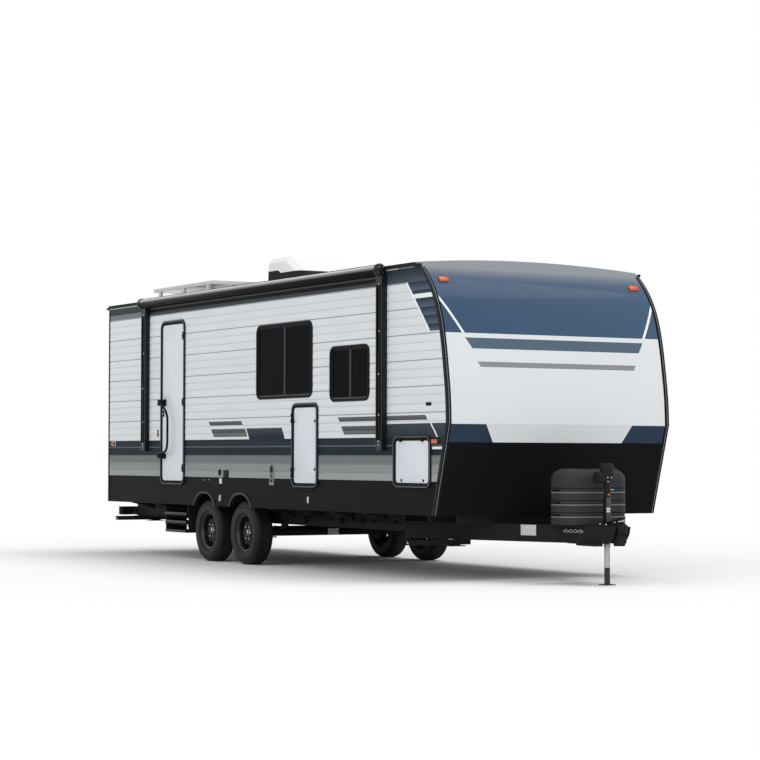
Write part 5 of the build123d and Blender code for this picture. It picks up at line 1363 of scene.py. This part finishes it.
class CARAVAN_OT_tongue(Builder):
    """A-frame, coupler, jack and gas bottle cover"""

    bl_idname = "caravan.tongue"
    bl_label = "Tongue"

    def build(self, scene):
        dress("black_steel", "tongue_beams", "tongue_crossbars", "coupler")
        dress("jack_black", "jack_body")
        dress("jack_tube", "jack_leg")
        dress("cover_plastic", "gas_cover")
        self.cover()
        self.jack()
        self.beam_strips()
        self.coupler_latch()

    def cover(self):
        """Bands, slots and top pads of the gas bottles' cover."""
        lips, dark, pads = bmesh.new(), bmesh.new(), bmesh.new()
        x, top = along(COVER_X), 1.030
        for z in (0.600, 0.708, 0.818):
            add_band(lips, (x, 0, z - 0.006), (0.3435, 0.6975), 0.131, 0.010)
            add_band(dark, (x, 0, z + 0.034), (0.3425, 0.6965), 0.131, 0.007)
            for side in (-1, 1):
                y = sorted((side * 0.320, side * 0.3485))
                add_box(dark, (x - 0.055, x + 0.060), y, (z + 0.006, z + 0.026), 0.004)
        for y in (-0.200, 0.200):
            add_box(pads, about(x, 0.070), about(y, 0.075), (top - 0.030, top - 0.003), 0.010, 3)
            add_box(dark, about(x, 0.055), about(y, 0.040), (top - 0.012, top - 0.0015), 0.004)
            add_box(pads, about(x, 0.012), about(y, 0.060), (top - 0.012, top), 0.004)
        profile = [(0.0, 0.060), (0.003, 0.060), (0.005, 0.056), (0.005, 0.0)]
        add_turned(dark, profile, (x, 0, top - 0.004), (0, 0, 1), 36)
        put("gas_cover_lips", lips, "cover_lip")
        put("gas_cover_slots", dark, "gasket")
        put("gas_cover_pads", pads, "cover_plastic")

    def jack(self):
        """Head, motor, sleeve, switch plate and bolts of the powered jack."""
        x = along(JACK_X)
        black, grey, bright, amber, pin, bolts = (bmesh.new() for _ in range(6))
        profile = [(0.0, 0.0), (0.004, 0.018), (0.004, 0.044), (-0.004, 0.054), (-0.020, 0.057)]
        add_turned(black, profile, (x, 0, 1.072), (0, 0, 1), 40)
        profile = [
            (0.0, 0.0525), (0.016, 0.0535), (0.020, 0.050), (0.020, 0.030), (0.024, 0.024), (0.024, 0.0),
        ]
        add_turned(black, profile, (x, -0.096, 0.954), (0, -1, 0), 40)
        add_rod(black, (x + 0.012, -0.095, 0.915), (x + 0.004, -0.126, 0.842), 0.006, 10, 0.001)
        profile = [
            (0.0, 0.0335), (0.0, 0.0345), (0.002, 0.0352), (0.228, 0.0352), (0.230, 0.0345), (0.230, 0.0335),
        ]
        add_turned(grey, profile, (x, 0, 0.545), (0, 0, 1), 48)
        add_rod(amber, (x + 0.0315, -0.006, 0.801), (x + 0.0385, -0.007, 0.801), 0.010, 16, 0.002)
        add_box(bright, (x + 0.033, x + 0.060), (-0.004, 0.034), (0.842, 0.848), 0.002)
        for ahead, y, z in ((0.052, -0.030, 0.952), (0.060, 0.004, 0.952), (0.056, -0.030, 0.915)):
            add_dome(bright, (x + ahead, y, z), (1, -0.3, 0), 0.006, 0.004, 10)
        put("jack_head_trim", black, "jack_black")
        put("jack_sleeve", grey, "sleeve_grey")
        put("jack_level_cap", amber, "amber_lens")
        put("jack_bright_parts", bright, "bright_steel")
        add_rod(pin, (x, -0.036, 0.030), (x, 0.036, 0.030), 0.006, 12, 0.001)
        put("jack_leg_pin", pin, "bright_steel", body="jack_leg")
        for ahead, aside in around(4, 0.062, math.pi / 4):
            add_dome(bolts, (x + ahead, aside, 0.535), (0, 0, 1), 0.010, 0.009, 6)
        put("jack_flange_bolts", bolts, "bright_steel")

    def beam_strips(self):
        """Blank label on the outer face of each beam of the A-frame."""
        strips = bmesh.new()
        start, end = (Vector((along(x), -y, 0)) for x, y in (BEAM_REAR, BEAM_FRONT))
        way = (end - start).normalized()
        out = Vector((way.y, -way.x, 0))
        turn = Matrix((way, out, Vector((0, 0, 1)))).transposed().to_4x4()
        centre = start + way * ((along(7.640) - start.x) / way.x) + out * 0.0255 + Vector((0, 0, 0.472))
        for side in (1, -1):
            sub = bmesh.new()
            add_box(sub, (-0.085, 0.085), (-0.001, 0.002), (-0.048, 0.048), 0.001)
            bmesh.ops.transform(sub, matrix=Matrix.Translation(centre) @ turn, verts=sub.verts)
            if side < 0:
                bmesh.ops.scale(sub, vec=(1, -1, 1), verts=sub.verts)
                bmesh.ops.recalc_face_normals(sub, faces=sub.faces)
            pour(sub, strips)
        put("tongue_blank_strips", strips, "blank_plate")

    def coupler_latch(self):
        """Cheek plates, latch lever and chain rings of the coupler."""
        bright, black = bmesh.new(), bmesh.new()
        tip = along(COUPLER_TIP)
        corners = (
            (8.120, 0.378), (8.455, 0.372), (8.520, 0.400), (8.560, 0.455), (8.575, 0.520), (8.440, 0.531),
            (8.120, 0.531),
        )
        for side in (-1, 1):
            plate = bmesh.new()
            face = plate.faces.new([plate.verts.new((along(x), 0, z)) for x, z in corners])
            thicken(plate, [face], (0, 0.012, 0))
            soften(plate, list(plate.edges), 0.003)
            bmesh.ops.translate(plate, verts=plate.verts, vec=(0, side * 0.0785 - 0.006, 0))
            pour(plate, black)
            for x, z in ((8.200, 0.500), (8.200, 0.410), (8.420, 0.500), (8.380, 0.410)):
                add_dome(black, (along(x), side * 0.0845, z), (0, side, 0), 0.013, 0.009, 6)
        # Range of x, y and z, edge and its segments
        boxes = (
            ((tip - 0.180, tip - 0.035), (-0.044, 0.044), (0.372, 0.470), 0.012, 3),
            ((tip - 0.120, tip - 0.062), (-0.048, 0.048), (0.350, 0.400), 0.010, 3),
            ((along(8.130), along(8.420)), (-0.190, -0.105), (0.346, 0.370), 0.004, 2),
            ((tip - 0.175, tip - 0.075), (-0.024, 0.024), (0.540, 0.572), 0.006, 2),
        )
        for box in boxes:
            add_box(black, *box)
        add_slab(black, (tip - 0.262, 0, 0.548), (tip - 0.030, 0, 0.600), 0.052, 0.014, 0.004)
        add_rod(bright, (tip - 0.110, -0.040, 0.558), (tip - 0.110, 0.040, 0.558), 0.007, 12, 0.001)
        add_rod(bright, (tip - 0.060, -0.030, 0.566), (tip - 0.060, 0.026, 0.574), 0.009, 12, 0.002)
        ring = [(-0.003, 0.015), (0.0, 0.018), (0.003, 0.015), (0.0, 0.012), (-0.003, 0.015)]
        for side in (-1, 1):
            for step in range(9):
                x, odd = 8.030 + step * 0.024, step % 2
                centre = (along(x), side * (beam_line(x) + 0.042), 0.472 + 0.004 * odd)
                axis = (0.35, side, 0.5) if odd else (-0.6, side, -0.5)
                add_turned(bright, ring, centre, axis, 14)
            for x in (7.560, 7.880):
                place = (along(x), side * (beam_line(x) - 0.052), 0.5105)
                add_dome(bright, place, (0, 0, 1), 0.010, 0.008, 6)
        put("coupler_latch_parts", black, "black_steel")
        put("coupler_bright_parts", bright, "bright_steel")


def beam_line(x):
    """Distance of an A-frame beam's middle from the centre line."""
    return BEAM_REAR[1] - (x - BEAM_REAR[0]) * BEAM_SLOPE


class CARAVAN_OT_steps(Builder):
    """Folded entry steps"""

    bl_idname = "caravan.steps"
    bl_label = "Steps"

    def build(self, scene):
        dress("black_steel", "step_bracket")
        for level, face in (("upper", 0.5080), ("middle", 0.4160), ("lower", 0.3131)):
            node = f"{level}_step_tread"
            dress("black_steel", f"{level}_step_arms")
            dress("step_black", node)
            low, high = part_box(node)
            edge, grips = bmesh.new(), bmesh.new()
            z = (face - 0.021, face + 0.002)
            add_box(edge, (low.x + 0.008, high.x - 0.008), (low.y - 0.002, low.y + 0.012), z, 0.003)
            for row in range(6):
                y = low.y + 0.030 + row * 0.030
                z = (face - 0.001, face + 0.003)
                add_box(grips, (low.x + 0.030, high.x - 0.030), (y, y + 0.012), z, 0.001, 1)
            put(node + "_edge", edge, "step_edge", body=node)
            put(node + "_grips", grips, "step_black", body=node)


class CARAVAN_OT_wheels(Builder):
    """Tyres, rims and hubs"""

    bl_idname = "caravan.wheels"
    bl_label = "Wheels"

    def build(self, scene):
        depth = scene.caravan_sizes.tread_depth
        for name, (x, y) in WHEELS.items():
            centre = Vector((along(x), y, WHEEL_HEIGHT))
            out = Vector((0, math.copysign(1, y), 0))
            dress("rim_black", f"{name}_rim")
            self.tyre(name, centre, depth)
            self.rim(name, centre, out)
            self.hub(name, centre, out)

    def tyre(self, name, centre, depth):
        """Tyre with grooves, shoulder blocks and two raised rings on each wall."""
        crown, body = 0.3314, f"{name}_wheel"
        # Half of the section as y and radius, from the bead to the middle
        left = [
            (-0.0735, 0.1885), (-0.0850, 0.1905), (-0.0930, 0.1980), (-0.0975, 0.2090), (-0.0990, 0.2110),
            (-0.0998, 0.2150), (-0.0992, 0.2190), (-0.1005, 0.2330), (-0.1016, 0.2550), (-0.1005, 0.2740),
            (-0.1010, 0.2765), (-0.1000, 0.2800), (-0.0970, 0.2960), (-0.0905, 0.3110), (-0.0830, 0.3205),
            (-0.0745, 0.3262), (-0.0660, crown - 0.0022), (-0.0560, crown - 0.0010),
        ]
        half, slope = 0.0050, 0.0012
        for middle in (-0.044, -0.015):
            left += [
                (middle - half, crown - 0.0004), (middle - half + slope, crown - depth),
                (middle + half - slope, crown - depth), (middle + half, crown - 0.0002),
            ]
        mesh, rings = bmesh.new(), bmesh.new()
        add_turned(mesh, left + [(-reach, radius) for reach, radius in reversed(left)], centre, (0, 1, 0), 80)
        shoulder = []
        for face in mesh.faces:
            spot = face.calc_center_median() - centre
            if 0.056 < abs(spot.y) < 0.070 and spot.xz.length > 0.325:
                shoulder.append((spot.y > 0, math.atan2(spot.z, spot.x), face))
        shoulder.sort(key=lambda block: block[:2])
        blocks = [face for *_, face in shoulder[::2]]
        bmesh.ops.inset_individual(mesh, faces=blocks, thickness=0.0018, depth=-0.0045)
        put(f"{name}_tyre_tread", mesh, "tyre_rubber", body=body, replaces=(f"{name}_tyre",), angle=28.0)
        # The raised rings get a pale finish: a painted highlight on the black rubber
        for reach, radius in ((0.0925, 0.2985), (0.1000, 0.2400)):
            profile = [
                (reach - 0.003, radius + 0.004), (reach + 0.0022, radius + 0.0022), (reach + 0.0026, radius),
                (reach + 0.0022, radius - 0.0022), (reach - 0.003, radius - 0.004),
            ]
            for way in (-1, 1):
                add_turned(rings, profile, centre, (0, way, 0), 72)
        put(f"{name}_tyre_rings", rings, "tyre_ring_highlight", body=body)

    def rim(self, name, centre, out):
        """Flange and pressed rings of the rim."""
        flange = bmesh.new()
        # Sections as distance from the wheel's middle and radius
        lip = [
            (0.060, 0.176), (0.070, 0.1795), (0.0755, 0.184), (0.0775, 0.1885), (0.0790, 0.1915),
            (0.0815, 0.1920), (0.0825, 0.1890), (0.0815, 0.1850), (0.0770, 0.1790), (0.0700, 0.1740),
            (0.0600, 0.1700), (0.0450, 0.1665), (0.0300, 0.1640), (0.0300, 0.1700), (0.0500, 0.1720),
            (0.060, 0.176),
        ]
        outer = [(0.026, 0.150), (0.032, 0.146), (0.034, 0.140), (0.030, 0.134), (0.026, 0.132)]
        inner = [(0.030, 0.100), (0.037, 0.096), (0.039, 0.088), (0.034, 0.080)]
        for profile, steps in ((lip, 64), (outer, 64), (inner, 48)):
            add_turned(flange, profile, centre, out, steps)
        put(f"{name}_rim_rings", flange, "rim_ring", body=f"{name}_wheel")

    def hub(self, name, centre, out):
        """Hub cap, six nuts and the valve."""
        bright, valve = bmesh.new(), bmesh.new()
        cap = [
            (0.030, 0.0430), (0.0420, 0.0430), (0.0440, 0.0405), (0.0640, 0.0385), (0.0700, 0.0340),
            (0.0735, 0.0240), (0.0748, 0.0120), (0.0752, 0.0),
        ]
        add_turned(bright, cap, centre, out, 40)
        for ahead, up in around(6, 0.0700):
            nut = centre + Vector((ahead, 0, up))
            add_rod(bright, nut + out * 0.030, nut + out * 0.050, 0.0105, 6)
            add_dome(bright, nut + out * 0.0495, out, 0.0085, 0.008, 10)
        put(f"{name}_hub_cap", bright, "bright_steel", body=f"{name}_wheel")
        start = centre + Vector((0, 0, -0.158)) + out * 0.040
        add_rod(valve, start, start + out * 0.030, 0.0055, 10, 0.001)
        put(f"{name}_valve", valve, "gasket", body=f"{name}_wheel")


def stage_colour(name, colour):
    """Dull, almost even colour of the studio floor."""
    made = Finish(name, 0.0)
    faint = made.noise(0.2, 1.0)
    made.set(base_color=made.mix(faint * 0.02, colour, tint(250, 250, 250)), roughness=1.0)
    return made.material


class CARAVAN_OT_stage(Builder):
    """Camera, floor and studio light"""

    bl_idname = "caravan.stage"
    bl_label = "Stage"

    def build(self, scene):
        self.camera(scene)
        self.floor(scene)
        self.world(scene)
        for name, way, strength, spread in SUNS:
            lamp_data = bpy.data.lights.new(name, "SUN")
            lamp_data.energy = strength
            lamp_data.angle = math.radians(spread)
            lamp = bpy.data.objects.new(name, lamp_data)
            lamp.rotation_euler = Vector(way).to_track_quat("Z", "Y").to_euler()
            scene.collection.objects.link(lamp)
        scene.view_settings.view_transform = "Standard"

    def camera(self, scene):
        """Camera fitted to the photograph: its focal length, place and direction."""
        data = bpy.data.cameras.new("camera")
        data.sensor_width = SENSOR_WIDTH
        data.lens = SENSOR_WIDTH * FOCAL_PIXELS / PICTURE_PIXELS
        data.clip_end = CAMERA_SIGHT
        camera = bpy.data.objects.new("camera", data)
        scene.collection.objects.link(camera)
        yaw, pitch, roll = CAMERA_TURNS
        ahead = Vector((-math.cos(yaw) * math.cos(pitch), math.sin(yaw) * math.cos(pitch), math.sin(pitch)))
        level = Vector((math.sin(yaw), math.cos(yaw), 0.0))
        upright = level.cross(ahead)
        right = math.cos(roll) * level + math.sin(roll) * upright
        above = math.cos(roll) * upright - math.sin(roll) * level
        turn = Matrix((right, above, -ahead)).transposed().to_4x4()
        x, y, z = CAMERA_PLACE
        camera.matrix_world = Matrix.Translation((along(x), y, z)) @ turn
        scene.camera = camera

    def floor(self, scene):
        """Pale floor that takes the shadow."""
        mesh = bmesh.new()
        size = scene.caravan_sizes.floor_size
        bmesh.ops.create_grid(mesh, x_segments=1, y_segments=1, size=size)
        data = bpy.data.meshes.new("studio_floor")
        mesh.to_mesh(data)
        mesh.free()
        data.materials.append(stage_colour("studio_floor", tint(246, 246, 246)))
        floor = bpy.data.objects.new("studio_floor", data)
        scene.collection.objects.link(floor)

    def world(self, scene):
        """Soft light all round, and a white backdrop where it is seen or mirrored."""
        world = scene.world or bpy.data.worlds.new("studio")
        scene.world = world
        world.use_nodes = True
        tree = world.node_tree
        tree.nodes.clear()
        output, paths, blend, light, shown = (
            tree.nodes.new(f"ShaderNode{kind}")
            for kind in ("OutputWorld", "LightPath", "MixShader", "Background", "Background")
        )
        for node, (colour, strength) in ((light, SKY), (shown, BACKDROP)):
            node.inputs["Color"].default_value = colour
            node.inputs["Strength"].default_value = strength
        seen = Value(tree, paths.outputs["Is Camera Ray"])
        for ray in ("Is Glossy Ray", "Is Transmission Ray"):
            seen = seen.either(Value(tree, paths.outputs[ray]))
        sources = (seen.socket, light.outputs[0], shown.outputs[0])
        for slot, source in zip(blend.inputs, sources):
            tree.links.new(source, slot)
        tree.links.new(blend.outputs[0], output.inputs["Surface"])


STEPS = (
    CARAVAN_OT_stage, CARAVAN_OT_walls, CARAVAN_OT_shell, CARAVAN_OT_windows, CARAVAN_OT_doors,
    CARAVAN_OT_awning, CARAVAN_OT_roof_equipment, CARAVAN_OT_lamps, CARAVAN_OT_fittings,
    CARAVAN_OT_chassis, CARAVAN_OT_tongue, CARAVAN_OT_steps, CARAVAN_OT_wheels,
)


class CARAVAN_PT_panel(bpy.types.Panel):
    """The caravan's sizes, colours and pieces"""

    bl_idname = "CARAVAN_PT_panel"
    bl_label = "Caravan"
    bl_space_type = "VIEW_3D"
    bl_region_type = "UI"
    bl_category = "Caravan"

    def draw(self, context):
        for group in (context.scene.caravan_finish, context.scene.caravan_sizes):
            for key in group.__annotations__:
                self.layout.prop(group, key)
        for step in STEPS:
            self.layout.operator(step.bl_idname)


CLASSES = (CaravanFinish, CaravanSizes) + STEPS + (CARAVAN_PT_panel,)


def register():
    for item in CLASSES:
        bpy.utils.register_class(item)
    bpy.types.Scene.caravan_finish = bpy.props.PointerProperty(type=CaravanFinish)
    bpy.types.Scene.caravan_sizes = bpy.props.PointerProperty(type=CaravanSizes)


def unregister():
    del bpy.types.Scene.caravan_sizes
    del bpy.types.Scene.caravan_finish
    for item in reversed(CLASSES):
        bpy.utils.unregister_class(item)


def main():
    register()
    for step in STEPS:
        group, name = step.bl_idname.split(".")
        getattr(getattr(bpy.ops, group), name)()


if __name__ == "__main__":
    main()
